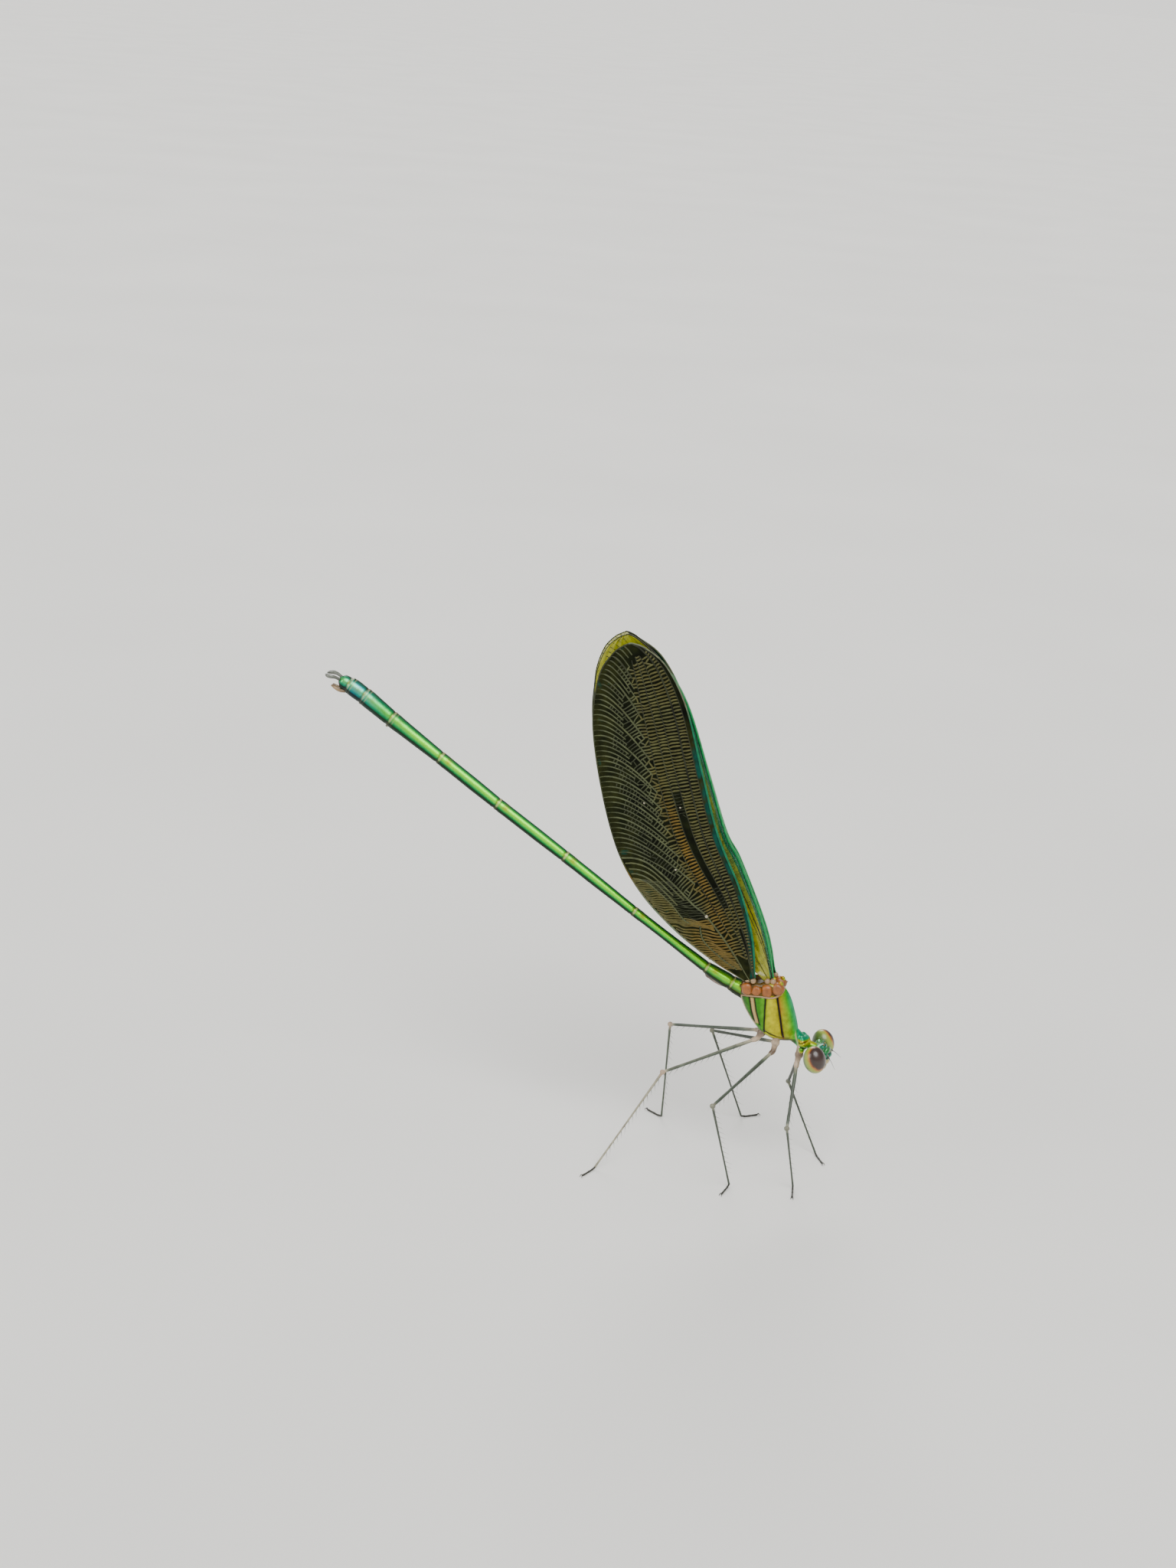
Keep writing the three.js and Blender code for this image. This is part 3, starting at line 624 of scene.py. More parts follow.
# Lines of the side plates as (height, x), from the rear to the front
LINES = {
    "rear": [(14.4, 0.19), (15.86, -0.96), (16.89, -1.47), (18.4, -1.75)],
    "stripe": [(14.7, 0.45), (16.0, 0.02), (17.36, -0.29)],
    "middle": [(13.6, 1.16), (14.68, 1.11), (17.35, 0.98)],
    "shoulder": [(13.4, 2.98), (15.6, 2.48), (17.55, 1.98)],
    "front": [(13.83, 4.45), (16.04, 3.72), (17.81, 3.0), (18.4, 2.85)],
}
# The hue at each of those lines
LINE_HUES = [0.0, 0.2, 0.4, 0.65, 1.0]
# Hues of the fore thorax by height
FORE_HUES = [(12.2, 0.5), (12.8, 0.32), (13.1, 0.42), (13.35, 0.5), (13.6, 0.97)]
# Edges along the thorax as (x, height): the low seam, the top seam and the edge of the back, whose
# brown plates are painted darker as the shadow of the wing roots
LOW_EDGE = [(1.1, 14.2), (2.35, 13.62), (3.3, 13.5)]
TOP_EDGE = [(-1.4, 17.2), (-0.3, 17.36), (0.65, 17.44), (1.5, 17.42), (2.3, 17.75), (2.8, 18.3)]
BACK_EDGE = [(-1.4, 17.3), (0.65, 17.5), (2.0, 17.6), (2.8, 18.4)]
# Swellings of fore thorax and breast as centre, radii and tilt
THORAX_MIDDLE = [
    ((4.72, 0, 13.0), (0.6, 0.98, 0.76), 25),
    ((4.36, 0, 13.5), (0.3, 0.62, 0.3), 25),
    ((1.9, 0, 13.5), (1.5, 0.62, 0.5), 10),
]
# The same on both sides: lobes of the fore thorax, then the roots of the wings
THORAX_PAIRED = [
    ((4.62, 0.45, 13.5), (0.34, 0.4, 0.28), 25),
    ((4.72, 0.72, 13.18), (0.36, 0.34, 0.34), 25),
    ((4.62, 0.78, 12.52), (0.3, 0.28, 0.3), 25),
    ((-0.4, 0.85, 18.15), (1.2, 0.42, 0.42), -6),
    ((1.4, 0.72, 18.3), (1.1, 0.42, 0.42), 12),
    ((2.12, 0.6, 18.72), (0.26, 0.22, 0.28)),
]


def thorax_body():
    turn = full_turn(80)
    bulge = np.sign(np.sin(turn)) * np.abs(np.sin(turn)) ** 0.85
    rings = []
    for share in np.linspace(0, 1, 60):
        ends = abs(2 * share - 1) ** 4
        front = mix(*THORAX["front"], share**1.15) - 0.45 * ends
        rear = mix(*THORAX["rear"], math.sin(share * math.pi / 2) ** 0.9) + 0.35 * ends
        narrow = THORAX["bottom_half_width" if share < 0.5 else "top_half_width"]
        x = (front + rear) / 2 + (front - rear) / 2 * np.cos(turn)
        y = mix(THORAX["half_width"], narrow, ends) * bulge * (1 - THORAX["keel"] * np.cos(turn))
        z = mix(THORAX["bottom"], THORAX["top"], share)
        rings.append(np.stack([x, y, np.full_like(x, z)], 1))
    return loft(rings)


def make_thorax():
    neck = limb([(4.3, 0, 13.2), (5.0, 0, 12.95), (6.1, 0, 12.6)], [0.5, 0.42, 0.38])
    shoulder = limb([(3.3, 0, 14.0), (4.5, 0, 13.1)], [0.75, 0.6])
    shapes = [thorax_body(), *swellings(THORAX_MIDDLE, THORAX_PAIRED)]
    shapes[3:3] = [neck, shoulder]
    points, faces = fused(shapes, voxel=0.06, smoothing=5)
    normals = normals_of(points, faces)
    x, y, z = points.T
    on_side = step_up(np.abs(y), 0.35, 0.8)
    in_body = step_up(4.1 - x, -0.2, 0.2) * step_up(z, 13.3, 13.8)

    def away(name):
        return np.abs(x - profile(LINES[name], z))

    low_edge = np.where((x > 1.0) & (x < 3.5), np.abs(z - profile(LOW_EDGE, x)), 9)
    seams = np.maximum.reduce([
        bump(away("middle"), 0.1) * (z > 13.9) * (z < 17.5),
        1.2 * bump(away("shoulder"), 0.105) * (z > 13.4) * (z < 17.6),
        bump(low_edge, 0.1),
        0.9 * bump(np.abs(z - profile(TOP_EDGE, x)), 0.07) * (x < 2.6),
        bump(away("stripe") - 0.23, 0.09) * (z > 14.65) * (z < 17.3),
        bump(z - 16.9, 0.05) * (away("stripe") < 0.2),
    ])
    seams = seams * on_side * in_body
    ridge = bump(y, 0.1) * step_up(x, 2.2, 3.2) * in_body
    ring = bump(x - 4.28 + 0.35 * (z - 13.0), 0.07) * (x > 3.9) * (z > 12.3)
    folds = np.maximum(bump(z - 13.3 - 0.3 * (x - 4.6), 0.07), bump(z - 12.86 + 0.2 * (x - 4.6), 0.08))
    folds = folds * (x > 4.3) * (x < 5.15) * on_side
    seams = np.maximum(seams, 0.8 * folds)
    points = points - normals * (0.06 * seams)[:, None] + normals * (0.05 * ridge)[:, None]
    places = np.stack([profile(line, z) for line in LINES.values()], 1)
    hue = np.array([np.interp(at, row, LINE_HUES) for at, row in zip(x, places)])
    # The orange glow behind the shoulder line fades to olive below.
    hue = hue + 0.07 * step_up(16.6 - z, 0, 1.4) * bump(hue - 0.7, 0.05)
    hue = np.where(x > 4.15 + 0.25 * (13.9 - z), profile(FORE_HUES, z), hue)
    stripe = step_up(0.21 - away("stripe"), 0.0, 0.14) * step_up(z, 14.75, 14.9) * (z < 17.3) * on_side
    rear = step_up(0.3 - away("rear"), 0.0, 0.1) * (z < 17.1) * (z > 14.2) * (x < 1)
    under = step_up(13.55 - z, 0.0, 0.2) * (x < 4.1)
    # Painted shadow: the brown plates on top of the back are painted darker still under the wing roots.
    back = step_up(z - profile(BACK_EDGE, x), 0, 0.1) * (x < 2.6)
    back = back * step_up(1.86 - x + 2.0 * (18.45 - z), 0, 0.3)
    attributes = {
        "hue": hue,
        "pale": np.clip(np.maximum.reduce([0.62 * stripe, 0.9 * rear, 0.8 * ring]), 0, 1),
        "gold": np.clip(0.2 * back + stripe, 0, 1),
        "black": np.clip(1.2 * seams, 0, 1),
        "dark": np.clip(np.maximum(0.8 * under, 0.92 * back), 0, 1),
    }
    nodes = ["synthorax", "prothorax"]
    add_piece("thorax_skin", (points, faces), "thorax", "thorax_metal", nodes, **attributes)


# Hinge plates and knobs on the back, one set for each wing
HINGE = {"forewing": (1.06, 0.64, 19.05), "hindwing": (-0.57, 1.4, 19.12)}
PLATES = [
    ((-0.84, 1.04, 17.98), (0.5, 0.48, 0.6), -12),
    ((0.04, 1.04, 17.94), (0.46, 0.46, 0.48), 26),
    ((0.98, 0.92, 18.0), (0.5, 0.5, 0.62), -6),
    ((1.92, 0.7, 18.22), (0.6, 0.5, 0.58), 30),
]
PLATE_BOXY = 2.7
KNOBS = [(-0.84, 1.18, 18.92), (-0.34, 1.22, 18.9), (0.92, 0.8, 18.88), (1.42, 0.78, 18.92)]
# The raised rim below the plates
RIM = [
    (-1.3, 1.2, 17.3), (-0.5, 1.34, 17.4), (0.4, 1.32, 17.48), (1.5, 1.19, 17.46), (2.2, 0.98, 17.8),
    (2.6, 0.72, 18.5),
]


def make_hinges():
    for name, side in SIDES.items():
        flip = [1, side, 1]
        shapes, hues = [], []
        for centre, radii, tilt in PLATES:
            middle = np.array(centre) * flip
            points, faces = ellipsoid(middle, radii, tilt, 40, 30, PLATE_BOXY)
            x, y, z = points.T
            points[:, 1] -= side * 0.05 * bump(x - middle[0] - 0.12, 0.06) * step_up(side * y, 1.0, 1.2)
            shapes.append((points, faces))
            hues.append(0.9 * step_up(middle[2] - z, 0.34, 0.5) + 0.25 * (centre[0] > 1.5))
        for centre in KNOBS:
            shapes.append(ellipsoid(np.array(centre) * flip, (0.27, 0.24, 0.28)))
            hues.append(np.full(len(shapes[-1][0]), 0.95))
        shapes.append(limb(np.array(RIM) * flip, [0.06, 0.09, 0.09, 0.09, 0.05], 10, 50))
        hues.append(np.full(len(shapes[-1][0]), 0.9))
        hue = np.clip(np.concatenate(hues), 0, 1)
        add_piece(f"hinge_plates_{name}", together(shapes), "plates", "thorax_metal", hue=hue)


# Head
HEAD_CENTRE = np.array([6.22, 0, 12.35])
HEAD_TURN = -4
HEAD_ROLL = 3
EYE_APART = 4.2
EYE_RADII = np.array([1.03, 0.98, 1.28])
EYE_TILT = -14
CAP_DIRECTION = np.array([0.68, -0.62, 0.36])
# The head's own swellings from its centre, as centre and radii: skull, brow, face, lip and jaws
HEAD_MIDDLE = [
    ((0.06, 0, 0.1), (0.6, 1.9, 0.66)),
    ((0.28, 0, -0.2), (0.62, 1.15, 0.75)),
    ((0.32, 0, 0.62), (0.36, 0.5, 0.22)),
    ((0.74, 0, 0.26), (0.3, 0.86, 0.24)),
    ((0.9, 0, -0.12), (0.32, 0.6, 0.26)),
    ((0.82, 0, -0.42), (0.24, 0.52, 0.14)),
    ((0.82, 0, -0.74), (0.27, 0.56, 0.3)),
    ((0.2, 0, -1.3), (0.52, 0.5, 0.42)),
]
# Those on both sides: feeler roots, cheeks, the sides of the jaws and the back of the head
HEAD_PAIRED = [
    ((0.74, 0.68, 0.1), (0.22, 0.2, 0.2)),
    ((0.52, 0.78, -0.66), (0.36, 0.3, 0.46)),
    ((0.42, 0.95, -0.3), (0.36, 0.36, 0.42)),
    ((0.56, 0.22, -1.32), (0.28, 0.18, 0.26)),
    ((-0.2, 1.1, 0.1), (0.42, 0.7, 0.6)),
]
# Hues of the face by height
FACE_HUES = [(-0.6, 0.4), (-0.4, 0.75), (-0.1, 0.6), (0.2, 0.5), (0.45, 0.3), (0.8, 0.85)]
OCELLI = [(0.52, 0, 0.72), (0.42, -0.26, 0.8), (0.42, 0.26, 0.8)]
# Path of a feeler as distance from its root and lift, and its radii
FEELER_PATH = [(-0.15, 0), (0.35, 0.05), (0.9, 0.08), (1.6, 0)]
FEELER_RADII = [0.08, 0.1, 0.08, 0.028, 0.022, 0.018, 0.015, 0.012, 0.009]


def head_place(points):
    """Turns the head about the upright axis and rolls its left side down."""
    yaw, roll = math.radians(HEAD_TURN), math.radians(HEAD_ROLL)
    rolled = np.array([[1, 0, 0], [0, math.cos(roll), math.sin(roll)], [0, -math.sin(roll), math.cos(roll)]])
    turned = np.array([[math.cos(yaw), -math.sin(yaw), 0], [math.sin(yaw), math.cos(yaw), 0], [0, 0, 1]])
    return np.asarray(points) @ (turned @ rolled).T + HEAD_CENTRE


def make_head():
    points, faces = fused(swellings(HEAD_MIDDLE, HEAD_PAIRED), voxel=0.045, smoothing=4)
    normals = normals_of(points, faces)
    x, y, z = points.T
    wide = np.abs(y)
    front = step_up(x, 0.25, 0.55)
    grooves = np.maximum.reduce([
        bump(z - 0.1, 0.045) * front * (wide < 0.75),
        bump(z + 0.32, 0.04) * front * (wide < 0.7),
        bump(z + 0.5, 0.035) * front * (wide < 0.62),
        bump(z + 1.04, 0.06) * front * (wide < 0.75),
        0.7 * bump(wide - 0.6, 0.05) * front * (z < -0.45) * (z > -1.1),
    ])
    points = points - normals * (0.045 * grooves)[:, None]
    labrum = step_up(-z, 0.5, 0.55) * step_up(1.06 + z, 0.0, 0.05) * front * (wide < 0.62)
    cheeks = step_up(wide, 0.55, 0.65) * step_up(-z, 0.2, 0.35)
    cheeks = cheeks * step_up(1.2 + z, 0.0, 0.1) * step_up(x, 0.1, 0.3)
    lips = 0.8 * step_up(-z, 1.2, 1.28) * step_up(x, 0.55, 0.7)
    underside = step_up(-z, 1.0, 1.15) * (1 - lips)
    attributes = {
        "hue": np.where(x < 0.1, 0.08 + 0.2 * step_up(z, -0.2, 0.6), profile(FACE_HUES, z)),
        "pale": np.clip(np.maximum.reduce([labrum, cheeks, lips]), 0, 1),
        "gold": 0.25 * labrum,
        "dark": np.clip(np.maximum(grooves, 0.9 * underside), 0, 1),
    }
    add_piece("head_skin", (head_place(points), faces), "head", "head_metal", ["head"], **attributes)
    shape = together([ellipsoid(place, (0.07, 0.08, 0.07)) for place in head_place(OCELLI)])
    add_piece("ocelli", shape, "eye", "eye", hue=0.33)


def make_eyes():
    for name, side in SIDES.items():
        ball, faces = ellipsoid((0, 0, 0), (1, 1, 1), 0, 96, 64)
        direction = unit(CAP_DIRECTION * [1, -side, 1])
        hue = np.degrees(np.arccos(np.clip(ball @ direction, -1, 1))) / 180
        points = (ball * EYE_RADII) @ side_turn(EYE_TILT).T + [0, side * EYE_APART / 2, 0]
        add_piece(f"compound_eye_{name}", (head_place(points), faces), "eye", "eye", [f"eye_{name}"], hue=hue)


def make_antennae():
    for name, side in SIDES.items():
        reach = unit(np.array([0.62, side * 0.5, -0.6]))
        root = np.array([0.88, side * 0.7, 0.1])
        path = [root + reach * distance + [0, 0, lift] for distance, lift in FEELER_PATH]
        points, faces = limb(path, FEELER_RADII, 12, 60)
        hue = mix(0.35, 1.0, step_up(0.35 - np.linalg.norm(points - root, axis=1), 0, 0.2))
        shape = (head_place(points), faces)
        add_piece(f"feeler_{name}", shape, "dark", "antenna", [f"antenna_{name}"], hue=hue)


# Legs
# Lengths of thigh, shin and foot, and the places of hip and root
LEG_PAIRS = {
    "hind": (9.3, 10.5, 2.0, (0.55, 0.9, 13.05), (1.15, 0.72, 14.2)),
    "middle": (9.0, 9.6, 1.9, (2.15, 0.96, 12.08), (2.35, 0.62, 13.7)),
    "fore": (6.5, 6.9, 1.9, (4.42, 0.92, 11.28), (4.6, 0.5, 12.75)),
}
# Pair, side, ankle on the floor, place nearest the knee, heading of the foot in degrees, paleness
LEGS = [
    ("hind", "right", (-12.5, -6.75), (-7.6, -2.9, 9.0), 245, 0.75),
    ("hind", "left", (-8.5, 4.8), (-8.1, 3.2, 10.7), 148, 0.3),
    ("middle", "right", (-0.1, -5.6), (-2.0, -8.6, 9.5), 257, 0.12),
    ("middle", "left", (-1.1, 7.5), (-5.0, 6.3, 10.2), 34, 0.12),
    ("fore", "right", (5.6, -3.95), (4.6, -6.0, 7.2), 276, 0.12),
    ("fore", "left", (6.8, 2.85), (3.4, 4.8, 6.1), 300, 0.12),
]
ANKLE_HEIGHT = 0.6
SHIN_END_HEIGHT = 0.22
FOOT_RADIUS = 0.1
# Where the joints of a foot are, as shares of its length
FOOT_MARKS = [0.0, 0.26, 0.55, 0.92]


def knee_place(hip, ankle, femur, tibia, near):
    """Where thigh and shin of these lengths meet, on the side that is nearest to a place."""
    reach = ankle - hip
    distance = np.linalg.norm(reach)
    axis = reach / distance
    along = (femur**2 - tibia**2 + distance**2) / (2 * distance)
    out = math.sqrt(femur**2 - along**2)
    lean = near - hip
    lean = unit(lean - axis * (lean @ axis))
    return hip + axis * along + lean * out


def rod(start, end, radii, around, steps):
    return limb([start, (start + end) / 2, end], radii, around, steps)


def claws(toe, heading, sideways):
    shapes = []
    for spread in (-1, 1):
        out = sideways * spread
        path = [
            toe - heading * 0.05 + [0, 0, 0.03],
            toe + heading * 0.16 + out * 0.07 + [0, 0, 0.1],
            toe + heading * 0.32 + out * 0.13,
        ]
        path[-1][2] = 0.02
        shapes.append(limb(path, [0.05, 0.04, 0.012], 8, 10))
    return shapes


def foot_parts(ground, heading, length):
    """Three joints of the foot lying on the floor, and a pair of claws."""
    direction = np.array([math.cos(heading), math.sin(heading), 0])
    sideways = np.array([-direction[1], direction[0], 0])
    shapes = []
    for first, second in zip(FOOT_MARKS, FOOT_MARKS[1:]):
        a = ground + direction * length * first + [0, 0, mix(0.2, FOOT_RADIUS, min(first * 4, 1))]
        b = ground + direction * length * second + [0, 0, FOOT_RADIUS]
        shapes.append(rod(a, b, [0.075, 0.085, 0.085, 0.1, 0.085], 12, 14))
    return shapes + claws(b, direction, sideways)


def make_legs():
    """Hips, legs and feet. It gives back the lines that carry the spines of each leg."""
    spine_lines = {}
    for pair, side_name, (ankle_x, ankle_y), near, toes, paleness in LEGS:
        femur, tibia, tarsus, hip, root = LEG_PAIRS[pair]
        flip = [1, SIDES[side_name], 1]
        root, hip = np.array(root) * flip, np.array(hip) * flip
        ankle = np.array([ankle_x, ankle_y, ANKLE_HEIGHT])
        knee = knee_place(hip, ankle, femur, tibia, np.array(near))
        name = f"{pair}_{side_name}"
        thigh, shin = unit(knee - hip), unit(ankle - knee)

        above = root + (root - hip) * 0.35
        coxa = fused([
            limb([above, root, hip], [0.34, 0.4, 0.36, 0.29, 0.24], 20, 24),
            rod(hip - thigh * 0.1, hip + thigh * 0.55, [0.23, 0.26, 0.24, 0.19], 18, 14),
            ellipsoid(mix(root, hip, 0.5), (0.4, 0.36, 0.42)),
        ], voxel=0.05, smoothing=3)
        hue = 0.5 + 0.4 * np.sin(coxa[0][:, 2] * 4)
        add_piece(f"coxa_skin_{name}", coxa, "coxa", "coxa", [f"coxa_{name}"], hue=hue)

        shin_end = np.array([ankle_x, ankle_y, SHIN_END_HEIGHT])
        shapes = [
            rod(hip + thigh * 0.4, knee, [0.16, 0.18, 0.175, 0.16, 0.145, 0.135, 0.15, 0.13], 18, 60),
            ellipsoid(knee, (0.25, 0.22, 0.25)),
            rod(knee, shin_end, [0.13, 0.11, 0.1, 0.09, 0.085, 0.085, 0.09, 0.1], 16, 60),
        ]
        points, faces = together(shapes)
        on_thigh = (points - hip) @ thigh / femur
        is_tibia = np.arange(len(points)) >= len(shapes[0][0]) + len(shapes[1][0])
        _, upright = path_frame(np.stack([hip, (hip + knee) / 2, knee]))
        # Painted sheen: the top of each thigh is made paler.
        top = step_up((points - hip) @ upright[0], -0.05, 0.2)
        hue = np.where(is_tibia, paleness + 0.1, mix(paleness * 0.5, 0.9, step_up(0.28 - on_thigh, 0, 0.3)))
        hue = np.clip(hue + 0.22 * top * ~is_tibia, 0, 0.95)
        from_knee = np.linalg.norm(points - knee, axis=1)
        hue = mix(hue, 1.0, step_up(0.75 - from_knee, 0, 0.5) * (0.95 if pair == "hind" else 0.55))
        nodes = [f"femur_{name}", f"tibia_{name}"]
        add_piece(f"leg_skin_{name}", (points, faces), "leg", "leg", nodes, hue=hue)

        shape = together(foot_parts(np.array([ankle_x, ankle_y, 0]), math.radians(toes), tarsus))
        add_piece(f"foot_{name}", shape, "foot", "foot", [f"tarsus_{name}"], hue=0.4 + 0.4 * paleness)
        spine_lines[name] = spine_rows(hip, knee, shin_end, thigh, shin)
    return spine_lines


SPINE_MARKS = np.linspace(0, 1, 12)[:, None]


def spine_rows(hip, knee, ankle, thigh, shin):
    """Lines that carry the spines: two rows under the femur and two along the tibia."""
    bend = unit(np.cross(thigh, shin))
    rows = []
    stretches = (
        (hip + thigh * 1.6, knee - thigh * 0.3, thigh, 0.18),
        (knee + shin * 0.7, ankle - shin * 1.7, shin, 0.1),
    )
    for start, end, along, radius in stretches:
        inward = unit(np.cross(bend, along)) * (-1 if along is thigh else 1)
        inward = inward * np.sign(inward @ (unit(ankle - knee) if along is thigh else unit(hip - knee)))
        for spread in (-1, 1):
            side = unit(inward + bend * spread * 0.75)
            rows.append((SPINE_MARKS * (end - start) + start + side * radius * 0.8, side))
    return rows


# Geometry Nodes trees


def new_tree(name, sockets):
    """A modifier tree with named inputs and one geometry output."""
    tree = bpy.data.node_groups.new(name, "GeometryNodeTree")
    tree.is_modifier = True
    tree.interface.new_socket("Geometry", in_out="INPUT", socket_type="NodeSocketGeometry")
    for label, kind in sockets.items():
        tree.interface.new_socket(label, in_out="INPUT", socket_type=kind)
    tree.interface.new_socket("Geometry", in_out="OUTPUT", socket_type="NodeSocketGeometry")
    return tree, add_node(tree, "NodeGroupInput").outputs


def close_tree(tree, geometry, material):
    """Ends a tree: instances made real, then the material set."""
    real = add_node(tree, "GeometryNodeRealizeInstances", {"Geometry": geometry}).outputs[0]
    dressed = add_node(tree, "GeometryNodeSetMaterial", {"Geometry": real, "Material": material}).outputs[0]
    add_node(tree, "NodeGroupOutput", {"Geometry": dressed})


def vein_tree():
    """Turns lines into thin rods whose radius is the line's own radius attribute."""
    sockets = {"Thickness": "NodeSocketFloat", "Sides": "NodeSocketInt", "Material": "NodeSocketMaterial"}
    tree, given = new_tree("Veins along lines", sockets)
    named = add_node(tree, "GeometryNodeInputNamedAttribute", {"Name": "radius"}, data_type="FLOAT")
    inputs = {0: named.outputs[0], 1: given["Thickness"]}
    scaled = add_node(tree, "ShaderNodeMath", inputs, operation="MULTIPLY").outputs[0]
    curve = add_node(tree, "GeometryNodeMeshToCurve", {"Mesh": given["Geometry"]}).outputs[0]
    circle = add_node(tree, "GeometryNodeCurvePrimitiveCircle", {"Resolution": given["Sides"], "Radius": 1.0})
    inputs = {"Curve": curve, "Profile Curve": circle.outputs[0], "Scale": scaled, "Fill Caps": True}
    rods = add_node(tree, "GeometryNodeCurveToMesh", inputs).outputs[0]
    close_tree(tree, rods, given["Material"])
    return tree


def spine_tree():
    """Sets a slender cone every so far along a line, leaning from it to the line's own side."""
    sockets = {
        "Spacing": "NodeSocketFloat", "Length": "NodeSocketFloat", "Base radius": "NodeSocketFloat",
        "Lean": "NodeSocketFloat", "Seed": "NodeSocketInt", "Material": "NodeSocketMaterial",
    }
    tree, given = new_tree("Spines along lines", sockets)
    curve = add_node(tree, "GeometryNodeMeshToCurve", {"Mesh": given["Geometry"]}).outputs[0]
    inputs = {"Curve": curve, "Length": given["Spacing"]}
    spaced = add_node(tree, "GeometryNodeResampleCurve", inputs, mode="LENGTH")
    named = add_node(tree, "GeometryNodeInputNamedAttribute", {"Name": "side"}, data_type="FLOAT_VECTOR")
    tangent = add_node(tree, "GeometryNodeInputTangent").outputs[0]
    inputs = {0: tangent, "Scale": given["Lean"]}
    forward = add_node(tree, "ShaderNodeVectorMath", inputs, operation="SCALE").outputs[0]
    inputs = {0: forward, 1: named.outputs[0]}
    direction = add_node(tree, "ShaderNodeVectorMath", inputs, operation="ADD").outputs[0]
    turned = add_node(tree, "FunctionNodeAlignRotationToVector", {"Vector": direction}, axis="Z").outputs[0]
    inputs = {"Vertices": 5, "Radius Top": 0.0}
    inputs |= {"Radius Bottom": given["Base radius"], "Depth": given["Length"]}
    cone = add_node(tree, "GeometryNodeMeshCone", inputs).outputs["Mesh"]
    inputs = {2: 0.75, 3: 1.15, "Seed": given["Seed"]}
    size = add_node(tree, "FunctionNodeRandomValue", inputs, data_type="FLOAT")
    inputs = {"Points": spaced.outputs[0], "Instance": cone, "Rotation": turned, "Scale": size.outputs[1]}
    planted = add_node(tree, "GeometryNodeInstanceOnPoints", inputs).outputs[0]
    close_tree(tree, planted, given["Material"])
    return tree


def line_mesh(name, lines):
    """A mesh of edges in the row frame. Each line is (points, {attribute: value or values})."""
    points, edges, values, start = [], [], {}, 0
    for line, extras in lines:
        line = np.asarray(line)
        points.append(line)
        edges += [(start + i, start + i + 1) for i in range(len(line) - 1)]
        for key, value in extras.items():
            shape = (len(line), 3) if key == "side" else (len(line),)
            values.setdefault(key, []).append(np.broadcast_to(value, shape))
        start += len(line)
    mesh = new_mesh(name, in_row_frame(np.concatenate(points)), edges, ())
    for key, parts in values.items():
        add_attribute(mesh, key, np.concatenate(parts))
    return mesh


def grown_piece(name, lines, tree, settings):
    """Runs a tree on lines and keeps the result as a plain mesh piece."""
    source = new_object(name + "_lines", line_mesh(name + "_lines", lines))
    modifier = source.modifiers.new("Grow", "NODES")
    modifier.node_group = tree
    for item in tree.interface.items_tree:
        if item.item_type == "SOCKET" and item.name in settings:
            modifier[item.identifier] = settings[item.name]
    source.update_tag()
    mesh = made_mesh(source)
    mesh.name = name
    source.modifiers.remove(modifier)
    bpy.data.objects.remove(source)
    mesh.shade_smooth()
    finish_piece(new_object(name, mesh))


def make_spines(spine_lines):
    tree = spine_tree()
    settings = {"Spacing": 0.6 * MM, "Length": 0.85 * MM, "Base radius": 0.015 * MM, "Lean": 1.1}
    settings["Material"] = FINISHES["spine"]
    for number, (name, rows) in enumerate(spine_lines.items()):
        settings["Seed"] = SEED + number
        lines = [(points, {"side": side, "hue": 0.5}) for points, side in rows]
        grown_piece(f"leg_spines_{name}", lines, tree, settings)


# Wings

# The edges are rows of distance along the span and distance from its axis. Blade is how far the wing
# stands from the middle, spread how much farther its tip does, and left_lean how many degrees lower
# the left one lies.
WINGS = {
    "forewing": {
        "span": 34.4,
        "rise": 62.8,
        "leading": [
            (0, 0.4), (4.5, 1.3), (11.2, 1.6), (14.2, 1.4), (20, 2.05),
            (26.5, 2.7), (31, 2.05), (33.4, 1.05), (34.3, 0.35),
        ],
        "trailing": [
            (0, 0.55), (4, 2.3), (9, 4.3), (15, 5.7), (22, 6.1),
            (28, 5.6), (31.6, 4.1), (33.6, 2.4), (34.3, 1.0),
        ],
        "blade": 0.48,
        "spread": 0.3,
        "left_lean": 0.8,
    },
    "hindwing": {
        "span": 33.0,
        "rise": 65.7,
        "leading": [
            (0, 0.45), (4, 1.5), (8.5, 1.9), (14, 1.7), (20, 2.3),
            (26, 2.95), (30, 2.55), (32.1, 1.4), (32.9, 0.4),
        ],
        "trailing": [
            (0, 0.6), (3, 3.0), (6.3, 5.1), (10.5, 6.9), (15, 7.6),
            (21, 7.0), (27, 5.6), (31.0, 3.5), (32.5, 1.7), (32.9, 0.7),
        ],
        "blade": 1.45,
        "spread": 0.45,
        "left_lean": 2,
    },
}
MEMBRANE_THICKNESS = 0.05
COSTAL_SHARE = 0.055
STEM_SHARE = 0.14
# The arched vein that closes the inner hind field of the wing, on a hindwing of this size
ARCH = [
    (-0.3, 0.1), (3.5, 0.85), (6.88, 1.88), (8.2, 2.65), (10.6, 3.77), (12.7, 4.98), (13.5, 5.7), (14.0, 6.5),
    (14.3, 7.5),
]
